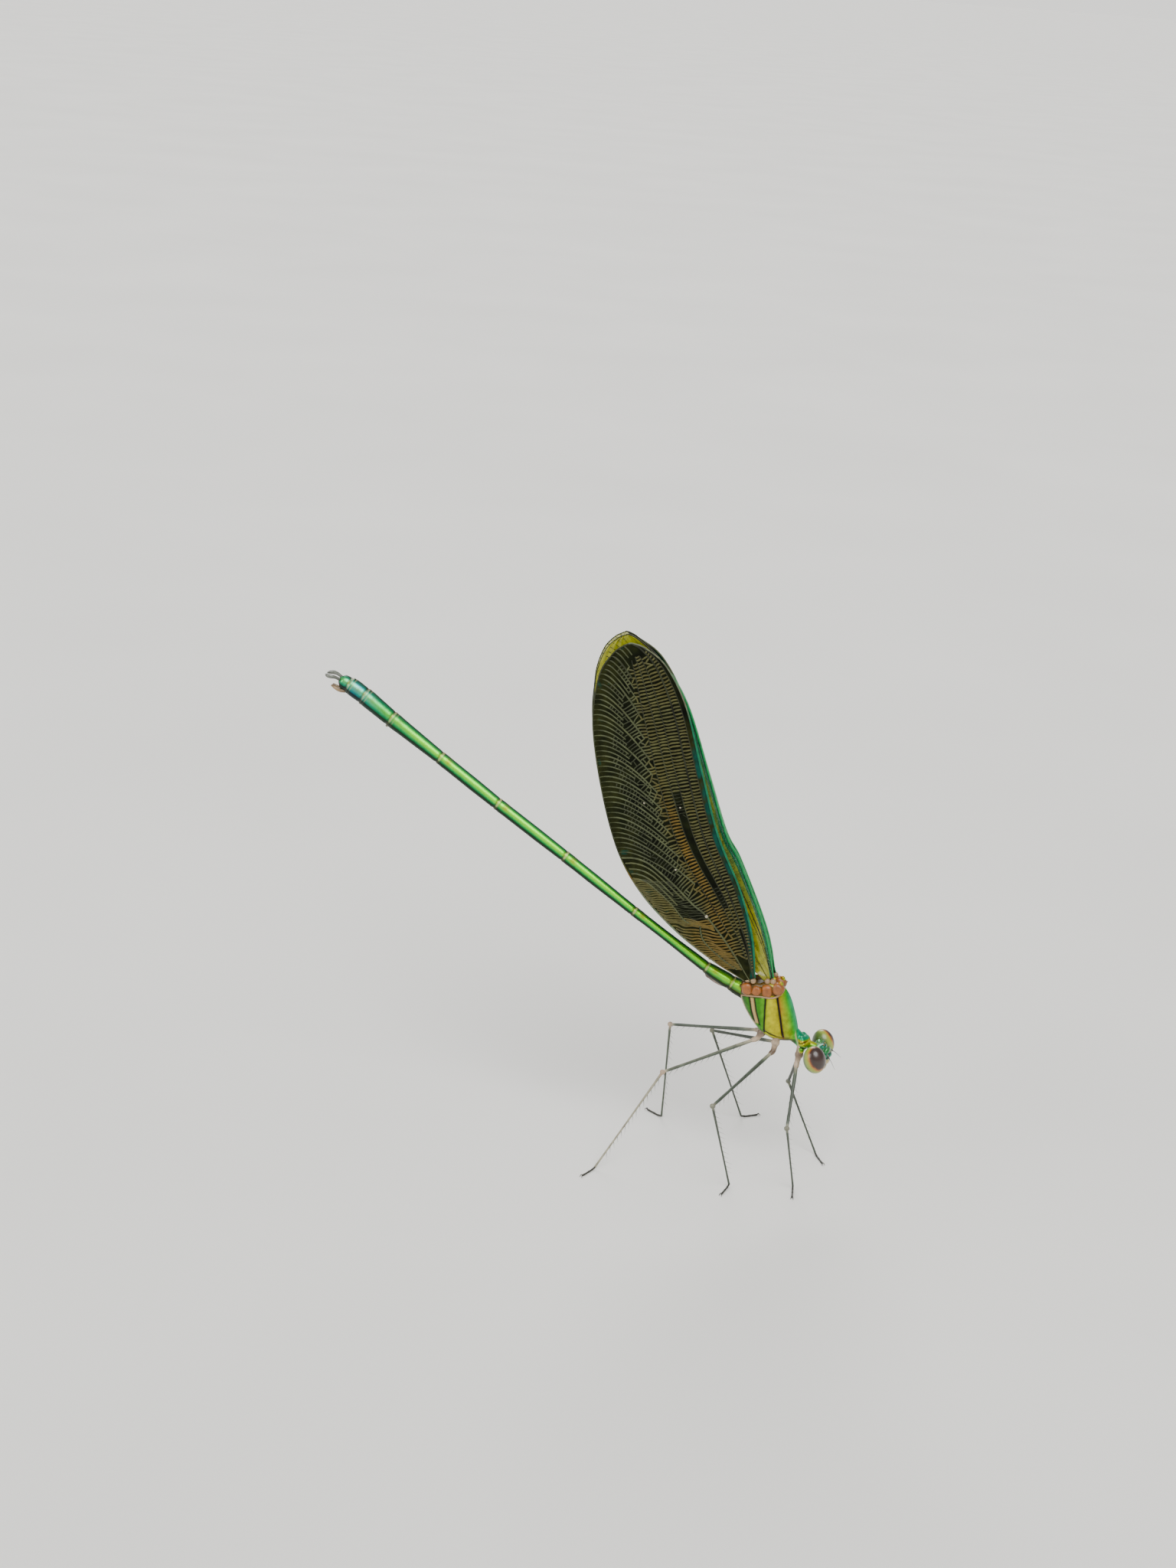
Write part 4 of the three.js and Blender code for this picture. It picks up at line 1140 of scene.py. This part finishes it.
# The zigzag vein through the middle of the hind field, and shorter ones between it and the arch
HIND_LINE = [
    (1.2, 0.9), (2.6, 1.9), (4.5, 2.88), (5.6, 2.9), (6.15, 2.8), (6.5, 3.43), (7.1, 4.0), (9.0, 4.7),
    (11.1, 5.84), (11.8, 6.5), (12.05, 7.1),
]
BETWEEN_LINES = [
    [(8.9, 3.35), (10.8, 4.3), (12.2, 5.1), (13.0, 5.8), (13.5, 6.6), (13.7, 7.35)],
    [(9.6, 4.15), (11.0, 4.85), (11.8, 5.3), (12.5, 5.94), (12.9, 6.6), (13.1, 7.2)],
    [(8.6, 4.1), (10.0, 4.75), (11.2, 5.4), (12.0, 6.05), (12.45, 6.7), (12.6, 7.15)],
]
ARCH_SPAN, ARCH_CHORD = 33.0, 7.6
ARCH_END = 0.43
PEEL = 4.0
# Veins that run along the wing, as chord shares at base and tip, and the length they cover
SECTORS = [(0.18, 0.3, 0.0, 0.93), (0.24, 0.4, 0.06, 0.93), (0.36, 0.48, 0.15, 0.92)]
MAIN_VEINS = 13
# Where along a branch the short veins begin that run between it and the next one
COMB_STARTS = [0.4, 0.26, 0.5]
CLEARANCE = 0.3
RUNG_SPACING = 0.31
# Two rungs are at least this far apart.
RUNGS_APART = 0.24
# A rung is between these two lengths, and its direction is within this cosine of square to its vein.
RUNG_LENGTHS = (0.15, 2.6)
SQUARENESS = 0.88
# A chord is looked for in this many directions, this far away, along a strip this wide to each side.
CHORD_DIRECTIONS = 24
CHORD_REACH = 2.2
CHORD_STRIP = 0.06
# How far from the hind edge the cross veins end
SMOOTH_HEM = 1.9
# A point that is far from all veins, for lists that are still empty
NOWHERE = np.array([-9.0, -9.0])
# Between these spans the band behind the first lengthwise vein is smooth, without cross veins.
BARE_SPANS = (9.4, 16.6)
# How far beyond that band its cross veins are thin and dark
FADE_OF_BAND = 2.2
# A place that is this far from all veins gets one more.
VOID = 0.24
LEAN_OF_RIDGES = np.array([0.39, 0.92])


class WingPlan:
    """The flat outline and veins of one wing: distance along the span and back from its axis."""

    def __init__(self, wing):
        self.span = wing["span"]
        self.leading = self.edge(wing["leading"], -1)
        self.trailing = self.edge(wing["trailing"], 1)
        scale = [self.span / ARCH_SPAN, max(c for _, c in wing["trailing"]) / ARCH_CHORD, 0]
        self.arch, self.hind_line, *self.between_lines = (
            smooth_path([np.array([s, c, 0]) * scale for s, c in line], 90)[:, :2]
            for line in (ARCH, HIND_LINE, *BETWEEN_LINES)
        )

    def edge(self, stations, sign):
        """Evenly spaced points on the smooth line through the stations and the tip."""
        marks = [(s, sign * c, 0) for s, c in stations] + [(self.span, 0, 0)]
        return smooth_path(marks, 600)[:, :2]

    def on(self, edge, share):
        return points_at(np.clip(share, 0, 1) * (len(edge) - 1), np.arange(len(edge)), edge)

    def lengthwise(self, chord_share, shares):
        """A line along the wing at a share of its chord."""
        return mix(self.on(self.leading, shares), self.on(self.trailing, shares), chord_share)

    def rim(self, share):
        """The hind edge up to the tip at 1, and the front edge beyond it."""
        return self.on(self.trailing, share) if share <= 1 else self.on(self.leading, 2 - share)

    def branch(self, end_share, parts):
        """A vein that peels off the stem and curves to the rim."""
        if end_share < 0.95:
            start = self.lengthwise(STEM_SHARE, 1 - (1 - end_share) ** (1 / PEEL))
        else:
            start = self.lengthwise(STEM_SHARE, 0.527 + 2.6 * (end_share - 0.95))
        end = self.rim(end_share)
        elbow = np.array([end[0], mix(start[1], end[1], np.interp(end_share, [0.5, 0.62], [0.66, 0.44]))])
        t = np.asarray(parts)[:, None]
        return (1 - t) ** 2 * start + 2 * t * (1 - t) * elbow + t**2 * end

    def behind_arch(self, place):
        return place[0] < self.arch[-1, 0] and place[1] > np.interp(place[0], *self.arch.T)

    def in_bare_band(self, place, beyond=0.0):
        """Whether a place is in the band without cross veins, made longer at each end by beyond."""
        if not BARE_SPANS[0] - beyond < place[0] < BARE_SPANS[1] + beyond:
            return False
        front, back = self.edges_at(place[0])
        along, across = place[0] / self.span, (place[1] - front) / (back - front)
        return mix(*SECTORS[0][:2], along) < across < mix(*SECTORS[1][:2], along)

    def edges_at(self, spans):
        """Chord positions of both edges at the given spans."""
        return np.interp(spans, *self.leading.T), np.interp(spans, *self.trailing.T)


def evenly(line, spacing):
    """Points every so far along a flat line, and their shares of its length."""
    along = length_along(line)
    marks = np.arange(spacing / 2, along[-1], spacing)
    return points_at(marks, along, line), marks / along[-1]


def clear_part(line, others, clearance):
    """The outer part of a line, from where it is clear of all the others."""
    dense = np.concatenate([evenly(other, 0.08)[0] for other in others])
    away = np.linalg.norm(line[:, None] - dense[None], axis=2).min(1)
    close = np.flatnonzero(away < clearance)
    return line[close[-1] + 1 :] if len(close) else line


def long_veins(plan, dice):
    """Lines that run lengthwise, as (kind, points). Branches start clear of their neighbours."""
    shares = np.linspace(0.0, 0.985, 150)
    veins = [("costal", plan.lengthwise(COSTAL_SHARE, shares)), ("stem", plan.lengthwise(STEM_SHARE, shares))]
    veins += [("arch", plan.arch), ("hind", plan.hind_line)]
    veins += [("hind", line) for line in plan.between_lines]
    for inner, outer, first, last in SECTORS:
        shares = np.linspace(first, last, 110)
        line = plan.lengthwise(mix(inner, outer, shares)[:, None], shares)
        veins.append(("sector", line))
    parts = np.linspace(0, 1, 70)
    ends = list(np.linspace(ARCH_END, 1.05, MAIN_VEINS))
    for end, after in zip(ends, ends[1:] + [None]):
        firm = [points for kind, points in veins if kind != "comb"]
        line = clear_part(plan.branch(end, parts), firm, CLEARANCE)
        if len(line) > 4 and end > ARCH_END:
            veins.append(("main", line))
        if after is None or end > 0.99:
            continue
        for number, first in enumerate(COMB_STARTS, 1):
            first += dice.uniform(-0.06, 0.06)
            comb = plan.branch(mix(end, after, number / (len(COMB_STARTS) + 1)), np.linspace(first, 1, 34))
            comb = clear_part(comb, [points for _, points in veins], CLEARANCE)
            if len(comb) > 4:
                veins.append(("comb", comb))
    return veins


def rung(start, tangent, toward, others):
    """The end of a cross vein that leaves start toward one side, or None where nothing is near."""
    across = np.array([tangent[1], -tangent[0]]) * toward
    step = others - start
    away = np.linalg.norm(step, axis=1)
    fits = (away > RUNG_LENGTHS[0]) & (away < RUNG_LENGTHS[1])
    ahead = np.flatnonzero((step @ across > SQUARENESS * away) & fits)
    return others[ahead[np.argmin(away[ahead])]] if len(ahead) else None


def tree_of(points):
    tree = KDTree(len(points))
    for number, (s, c) in enumerate(points):
        tree.insert((s, c, 0), number)
    tree.balance()
    return tree


def chord_through(place, lines):
    """The shortest straight chord through a place from one line to another, as its two ends."""
    step = lines - place
    step = step[np.abs(step).max(1) < CHORD_REACH]
    best = None
    for angle in np.linspace(0, math.pi, CHORD_DIRECTIONS, endpoint=False):
        along = step @ [math.cos(angle), math.sin(angle)]
        near = np.abs(step @ [-math.sin(angle), math.cos(angle)]) < CHORD_STRIP
        fore, rear = along[near & (along > 0)], along[near & (along < 0)]
        if len(fore) and len(rear) and (best is None or fore.min() - rear.max() < best[0]):
            turn = np.array([math.cos(angle), math.sin(angle)])
            best = (fore.min() - rear.max(), place + turn * rear.max(), place + turn * fore.min())
    return best[1:] if best else None


def rungs(plan, veins, dice):
    """Cross veins between neighbouring long veins, like ladder rungs. The first pass goes from each
    vein toward the front edge and the second one backward, where nothing is there yet. Then each
    place that is still far from all veins gets the shortest chord through it."""
    dense = [evenly(points, 0.05)[0] for _, points in veins]
    owner = np.concatenate([np.full(len(points), i) for i, points in enumerate(dense)])
    dense = np.concatenate(dense)
    hem, _ = evenly(plan.trailing, 0.2)
    made, middles = [], [NOWHERE]

    def unwanted(place, reach):
        near_hem = np.linalg.norm(hem - place, axis=1).min() < reach
        return near_hem or plan.in_bare_band(place) or plan.behind_arch(place)

    for toward in (1, -1):
        for number, (kind, points) in enumerate(veins):
            if kind == "costal":
                continue
            starts, _ = evenly(points, RUNG_SPACING)
            if len(starts) < 2:
                continue
            reach = SMOOTH_HEM * dice.uniform(0.6, 1.5)
            others = dense[owner != number]
            for start, tangent in zip(starts, unit(np.gradient(starts, axis=0))):
                end = rung(start, tangent, toward, others)
                if end is None or unwanted((start + end) / 2, reach):
                    continue
                thirds = [mix(start, end, share) for share in (0.3, 0.5, 0.7)]
                nearest = min(np.linalg.norm(np.array(middles) - third, axis=1).min() for third in thirds)
                if nearest < RUNGS_APART:
                    continue
                middles += thirds
                wave = tangent * (0.07 * math.sin(1.9 * start[0] + number) + dice.normal(0, 0.02))
                made.append(np.stack([start, thirds[0] + wave, thirds[2] + wave * 0.6, end]))

    lines = np.concatenate([dense, *[evenly(points, 0.05)[0] for points in made]])
    tree = tree_of(lines)
    added = NOWHERE[None]
    for span in np.arange(1.0, plan.span - 1.5, 0.1):
        front, back = plan.edges_at(span)
        for chord in np.arange(front + 0.8, back - SMOOTH_HEM, 0.1):
            place = np.array([span, chord])
            if tree.find((span, chord, 0))[2] < VOID or unwanted(place, SMOOTH_HEM):
                continue
            if np.linalg.norm(added - place, axis=1).min() < VOID:
                continue
            ends = chord_through(place, np.concatenate([lines, added]))
            if ends:
                made.append(np.stack([ends[0], place, ends[1]]))
                added = np.concatenate([added, evenly(made[-1], 0.05)[0]])
    return made


def hind_field_ridges(plan, dice):
    """The crowded wavy cross veins of the hind field as (points, is dim). They run from its zigzag
    vein to the hind edge, and forward to the arch, where they are dim away from the base."""
    ridges = []
    starts, shares = evenly(plan.hind_line, RUNG_SPACING)
    for start, share in zip(starts, shares):
        for toward in (1, -1):
            reach = np.linspace(0.03, 6, 150)[:, None]
            line = start + reach * LEAN_OF_RIDGES * toward
            _, back = plan.edges_at(line[:, 0])
            arch = np.interp(line[:, 0], *plan.arch.T)
            line = line[(line[:, 1] < back) if toward > 0 else (line[:, 1] > arch)]
            if len(line) < 6:
                continue
            away = np.linalg.norm(line - start, axis=1)
            kinks = 0.1 * np.sin(away * 2.6 + 1.5) + 0.04 * np.sin(away * 5 + share * 40)
            kinks = kinks + dice.normal(0, 0.02)
            line = line + (kinks * np.minimum(away, 1))[:, None] * [LEAN_OF_RIDGES[1], -LEAN_OF_RIDGES[0]]
            is_dim = toward < 0 and start[0] > 0.22 * plan.span
            ridges.append((evenly(line, 0.16)[0], is_dim))
    return ridges


def copper_glow(points):
    """Where the cross veins of the hindwing turn from grey-tan to copper."""
    s, c = points[:, 0], points[:, 1]
    middle = bump(s - 13.0, 5.5) * bump(c - 0.09 * s - 0.15, 0.65)
    inner = 0.8 * bump(s - 4.5, 4.5) * bump(c - 2.2, 2.0)
    return np.clip(middle + inner, 0, 1)


def base_taper(points):
    """Rods thin out toward the hinge."""
    return mix(0.5, 1.0, step_up(points[:, 0], 0.0, 2.5))


# Radius and tone of the hindwing's plainer long veins
LONG_VEINS = {
    "hind": (0.085, 0.22), "arch": (0.1, 0.2), "stem": (0.1, 0.04), "costal": (0.07, 0.04),
    "sector": (0.07, 0.04),
}
# How far along each edge its own vein is drawn
EDGE_SHARES = np.linspace(0, 0.999, 220)


def hindwing_veins(plan, dice):
    """All veins of a hindwing as (flat points, radii, tones)."""
    lines = []
    veins = long_veins(plan, dice)
    for kind, points in veins:
        _, back = plan.edges_at(points[:, 0])
        outward = step_up(points[:, 1], 0.0, 2.6)
        hem = step_up(back - points[:, 1], 0.0, 0.9)
        if kind == "main":
            lines.append((points, mix(0.1, 0.085, outward) * mix(0.6, 1, hem), mix(0.04, 0.2, outward)))
        elif kind == "comb":
            lines.append((points, 0.07 * mix(0.6, 1, hem), 0.17))
        else:
            radius, tone = LONG_VEINS[kind]
            lines.append((points, radius * base_taper(points), tone))
    front, hind = plan.on(plan.leading, EDGE_SHARES), plan.on(plan.trailing, EDGE_SHARES)
    tip = step_up(front[:, 0], 22, 27)
    lines.append((front, mix(0.1, 0.075, tip) * base_taper(front), mix(1.0, 0.8, tip)))
    tone = mix(0.8, 0.1, step_up(EDGE_SHARES, 0.34, 0.44)) * mix(0.3, 1, step_up(hind[:, 0], 0.3, 3))
    lines.append((hind, mix(0.09, 0.07, step_up(EDGE_SHARES, 0.3, 0.45)) * base_taper(hind), tone))
    for points in rungs(plan, veins, dice):
        front, back = plan.edges_at(points[:, 0])
        inside = step_up((points[:, 1] - front) / (back - front), 0.45, 0.62)
        tone = mix(0.34 + 0.26 * copper_glow(points), 0.08, inside)
        radii = np.interp(np.linspace(0, 1, len(points)), [0, 0.3, 0.7, 1], [0.07, 0.095, 0.095, 0.07])
        if plan.in_bare_band(points.mean(0), FADE_OF_BAND):
            lines.append((points, 0.6 * radii, 0.06))
        else:
            lines.append((points, radii * mix(1.0, 0.7, inside), tone))
    for points, is_dim in hind_field_ridges(plan, dice):
        lines.append((points, 0.055, 0.1) if is_dim else (points, 0.09, 0.36 + 0.22 * copper_glow(points)))
    return lines


def forewing_veins(plan, dice):
    """All veins of a forewing, thin and dark, as (flat points, radii, tones)."""
    lines = []
    veins = long_veins(plan, dice)
    for kind, points in veins:
        lines.append((points, 0.05 if kind in ("stem", "costal", "arch") else 0.035, 0.1))
    front, hind = plan.on(plan.leading, EDGE_SHARES), plan.on(plan.trailing, EDGE_SHARES)
    radii = mix(0.15, 0.06, step_up(EDGE_SHARES, 0.8, 0.9)) * base_taper(front)
    lines.append((front, radii, mix(1.0, 0.1, step_up(EDGE_SHARES, 0.84, 0.9))))
    lines.append((hind, 0.05 * base_taper(hind), 0.3))
    lines += [(points, 0.028, 0.1) for points in rungs(plan, veins, dice)]
    lines += [(points, 0.028, 0.1) for points, _ in hind_field_ridges(plan, dice)]
    return lines


def membrane_hues(name, plan, spans, chord, front, back):
    """The tone of each membrane. The forewing has a green strip along its front edge, and behind it a band of
    painted shade beyond the base.
    """
    from_front, from_back = chord - front, back - chord
    if name == "forewing":
        along = step_up(31.5 - spans, 0, 2.5)
        strip = step_up(0.42 - from_front, 0, 0.12) * along
        # Painted shade: an olive band behind the green strip, beyond the base.
        painted_shade_band = 0.34 * step_up(1.0 - from_front, 0, 0.2) * step_up(spans, 5.5, 7.5) * along
        return np.maximum(0.12 + 0.15 * step_up(1.2 - from_back, 0, 1) + painted_shade_band, 0.72 * strip)
    smoke = mix(0.62, 0.2, step_up(from_back, 0.5, 3.5))
    return mix(smoke, 1.0, step_up(0.52 - from_front, 0, 0.1) * step_up(26 - spans, 0, 3))


def wing_place(wing, hinge, side, flat, lift=0.0):
    """Flat wing positions moved to where the wing stands."""
    rise = math.radians(wing["rise"] - (wing["left_lean"] if side > 0 else 0))
    spanward = np.array([-math.cos(rise), 0, math.sin(rise)])
    chordward = np.array([-math.sin(rise), 0, -math.cos(rise)])
    s, c = flat[..., 0:1], flat[..., 1:2]
    reach = 1 - np.exp(-np.maximum(s, 0) / 0.6)
    level = mix(hinge[1], wing["blade"], reach) + wing["spread"] * (s / wing["span"]) ** 2 + lift
    return np.array([hinge[0], 0, hinge[2]]) + s * spanward + c * chordward + side * level * [0, 1, 0]


# Small pale beads at forks of the hindwing's veins, as flat place and radius
BEADS = [((6.88, 1.88), 0.17), ((11.9, 3.1), 0.11), ((18.7, 3.7), 0.1), ((17.4, 0.7), 0.1)]


def make_beads(wing, side_name):
    shapes = []
    for place, radius in BEADS:
        centre = wing_place(wing, HINGE["hindwing"], SIDES[side_name], np.array([place]))[0]
        shapes.append(ellipsoid(centre, np.full(3, radius), 0, 12, 8))
    add_piece(f"vein_beads_{side_name}", together(shapes), "bead", "hindwing", hue=0.85)


MEMBRANE_ROWS, MEMBRANE_COLUMNS = 200, 44
PLEATS, PLEAT_DEPTH = 9, 0.02


def make_membrane(node, name, wing, plan, side):
    """A closed thin pleated sheet. The face toward the other wing takes the inner finish."""
    spans = plan.span * (1 - (1 - np.linspace(0.0, 0.9995, MEMBRANE_ROWS)) ** 1.25)[:, None]
    front, back = plan.edges_at(spans)
    share = np.linspace(0, 1, MEMBRANE_COLUMNS)[None]
    chord = mix(front, back, share)
    flat = np.stack([spans + 0 * chord, chord], -1)
    pleat = (PLEAT_DEPTH * np.sin(share * math.pi * PLEATS) * np.minimum(spans / 3, 1))[..., None]
    half = MEMBRANE_THICKNESS / 2
    sheets = [wing_place(wing, HINGE[name], side, flat, pleat + lift) for lift in (half, -half)]
    points = np.concatenate([sheet.reshape(-1, 3) for sheet in sheets])
    count = chord.size
    grid = np.arange(count).reshape(chord.shape)
    quads = np.stack([grid[:-1, :-1], grid[:-1, 1:], grid[1:, 1:], grid[1:, :-1]], -1).reshape(-1, 4)
    faces = [tuple(quad) for quad in quads.tolist()]
    outer = len(faces)
    faces += [tuple(count + i for i in reversed(face)) for face in faces]
    rim = np.concatenate([grid[0], grid[1:, -1], grid[-1, -2::-1], grid[-2:0:-1, 0]]).tolist()
    faces += [(b, a, a + count, b + count) for a, b in zip(rim, rim[1:] + rim[:1])]
    if side > 0:
        faces = [tuple(reversed(face)) for face in faces]
    hue = np.tile(membrane_hues(name, plan, spans, chord, front, back).ravel(), 2)
    outside, inside = ("wing_dark", "wing_metal") if name == "hindwing" else ("wing_clear", "wing_clear")
    mesh = add_piece(f"{node}_membrane", (points, faces), outside, name, [node], hue=hue)
    mesh.materials.append(FINISHES[inside])
    is_inner = [int(outer <= number < 2 * outer) for number in range(len(faces))]
    mesh.polygons.foreach_set("material_index", is_inner)


# For each kind of wing, what makes its veins, their finish, and the number of sides of a rod
VEIN_MAKERS = {"forewing": (forewing_veins, "vein_green", 4), "hindwing": (hindwing_veins, "vein_tan", 6)}


def make_wings():
    tree = vein_tree()
    for name, wing in WINGS.items():
        plan = WingPlan(wing)
        vein_maker, finish, sides = VEIN_MAKERS[name]
        lines = vein_maker(plan, np.random.default_rng(SEED))
        settings = {"Thickness": 1.0, "Sides": sides, "Material": FINISHES[finish]}
        for side_name, side in SIDES.items():
            node = f"{name}_{side_name}"
            make_membrane(node, name, wing, plan, side)
            placed = []
            for flat, radius, tone in lines:
                extras = {"radius": np.asarray(radius) * MM, "hue": tone}
                placed.append((wing_place(wing, HINGE[name], side, flat), extras))
            grown_piece(f"{node}_veins", placed, tree, settings)
    for side_name in SIDES:
        make_beads(WINGS["hindwing"], side_name)


# Stage


FLOOR_REACH = 30.0
PAPER = "#e9e8e4"


def make_stage():
    # Matt studio paper: an even pale ground with the faintest cloudiness.
    material, tree, shader, place = new_material("pale_matte_paper", {"Roughness": 0.9})
    clouds = add_node(tree, "ShaderNodeTexNoise", {"Vector": place, "Scale": per_mm(60.0)}).outputs["Fac"]
    stops = [(CLOUD_LOW, PAPER), (CLOUD_HIGH, "#eeede9")]
    tone = add_node(tree, "ShaderNodeValToRGB", {"Fac": clouds}, stops)
    tree.links.new(tone.outputs[0], shader.inputs["Base Color"])
    corners = [(x * FLOOR_REACH, y * FLOOR_REACH, 0) for x, y in ((-1, -1), (1, -1), (1, 1), (-1, 1))]
    floor = new_object("floor", new_mesh("floor", corners, (), [(0, 1, 2, 3)]))
    floor.data.materials.append(material)


# Far soft lamps as name, direction they shine from, width in degrees, light in watts for each square
# metre. They are so far away that they light the floor evenly up to the horizon.
SOFT_LAMPS = [
    ("lamp_above", (0.35, -0.8, 1.33), 41, 3.0),
    ("lamp_side", (-1.2, -0.9, 0.58), 31, 1.05),
    ("lamp_rear", (-0.4, 1.1, 0.88), 30, 1.5),
]
# The studio wall glows softly, and near the horizon it is as bright as the floor. The glow fades
# between these two heights, which are the sines of the angle above the horizon.
AMBIENT = 0.5
HORIZON_GLOW = 1.62
FADE_FROM, FADE_TO = 0.03, 0.16


def make_lights():
    for name, source, width, light in SOFT_LAMPS:
        data = bpy.data.lights.new(name, "SUN")
        data.angle = math.radians(width)
        data.energy = light
        lamp = new_object(name, data)
        lamp.location = source
        lamp.rotation_euler = (-Vector(source)).to_track_quat("-Z", "Y").to_euler()
    world = bpy.data.worlds.new("studio")
    world.use_nodes = True
    tree = world.node_tree
    backdrop = tree.nodes["Background"]
    backdrop.inputs["Color"].default_value = colour(PAPER)
    direction = add_node(tree, "ShaderNodeTexCoord").outputs["Generated"]
    height = add_node(tree, "ShaderNodeSeparateXYZ", {0: direction}).outputs[2]
    inputs = {"Value": height, "From Min": FADE_FROM, "From Max": FADE_TO}
    inputs |= {"To Min": HORIZON_GLOW, "To Max": AMBIENT}
    glow = add_node(tree, "ShaderNodeMapRange", inputs).outputs[0]
    tree.links.new(glow, backdrop.inputs["Strength"])
    bpy.context.scene.world = world


# The camera looks at the insect's right side from a little ahead and above, rolled by 4 degrees.
CAMERA_ELEVATION = 20.5
CAMERA_AZIMUTH = 11.5
CAMERA_ROLL = 4.212
CAMERA_PLACE = (19.4777, -180.2168, 103.8118)
LENS = 50
SENSOR = 36


def make_camera():
    e, a, r = (math.radians(v) for v in (CAMERA_ELEVATION, CAMERA_AZIMUTH, CAMERA_ROLL))
    toward = Vector((math.cos(e) * math.sin(a), -math.cos(e) * math.cos(a), math.sin(e)))
    level = Vector((math.cos(a), math.sin(a), 0))
    upright = toward.cross(level)
    right = level * math.cos(r) + upright * math.sin(r)
    up = upright * math.cos(r) - level * math.sin(r)
    data = bpy.data.cameras.new("camera")
    data.lens = LENS
    data.sensor_width = SENSOR
    data.clip_start = 0.01
    data.clip_end = 100
    camera = new_object("camera", data)
    turned = Matrix((right, up, toward)).transposed().to_4x4()
    place = (Vector(CAMERA_PLACE) + Vector((FORWARD_SHIFT, 0, 0))) * MM
    camera.matrix_world = Matrix.Translation(place) @ turned
    bpy.context.scene.camera = camera


abdomen_places = make_abdomen()
make_genital_lobes(abdomen_places)
make_joint_nubs(abdomen_places)
make_claspers(abdomen_places)
make_thorax()
make_hinges()
make_head()
make_eyes()
make_antennae()
make_spines(make_legs())
make_wings()
make_stage()
make_lights()
make_camera()
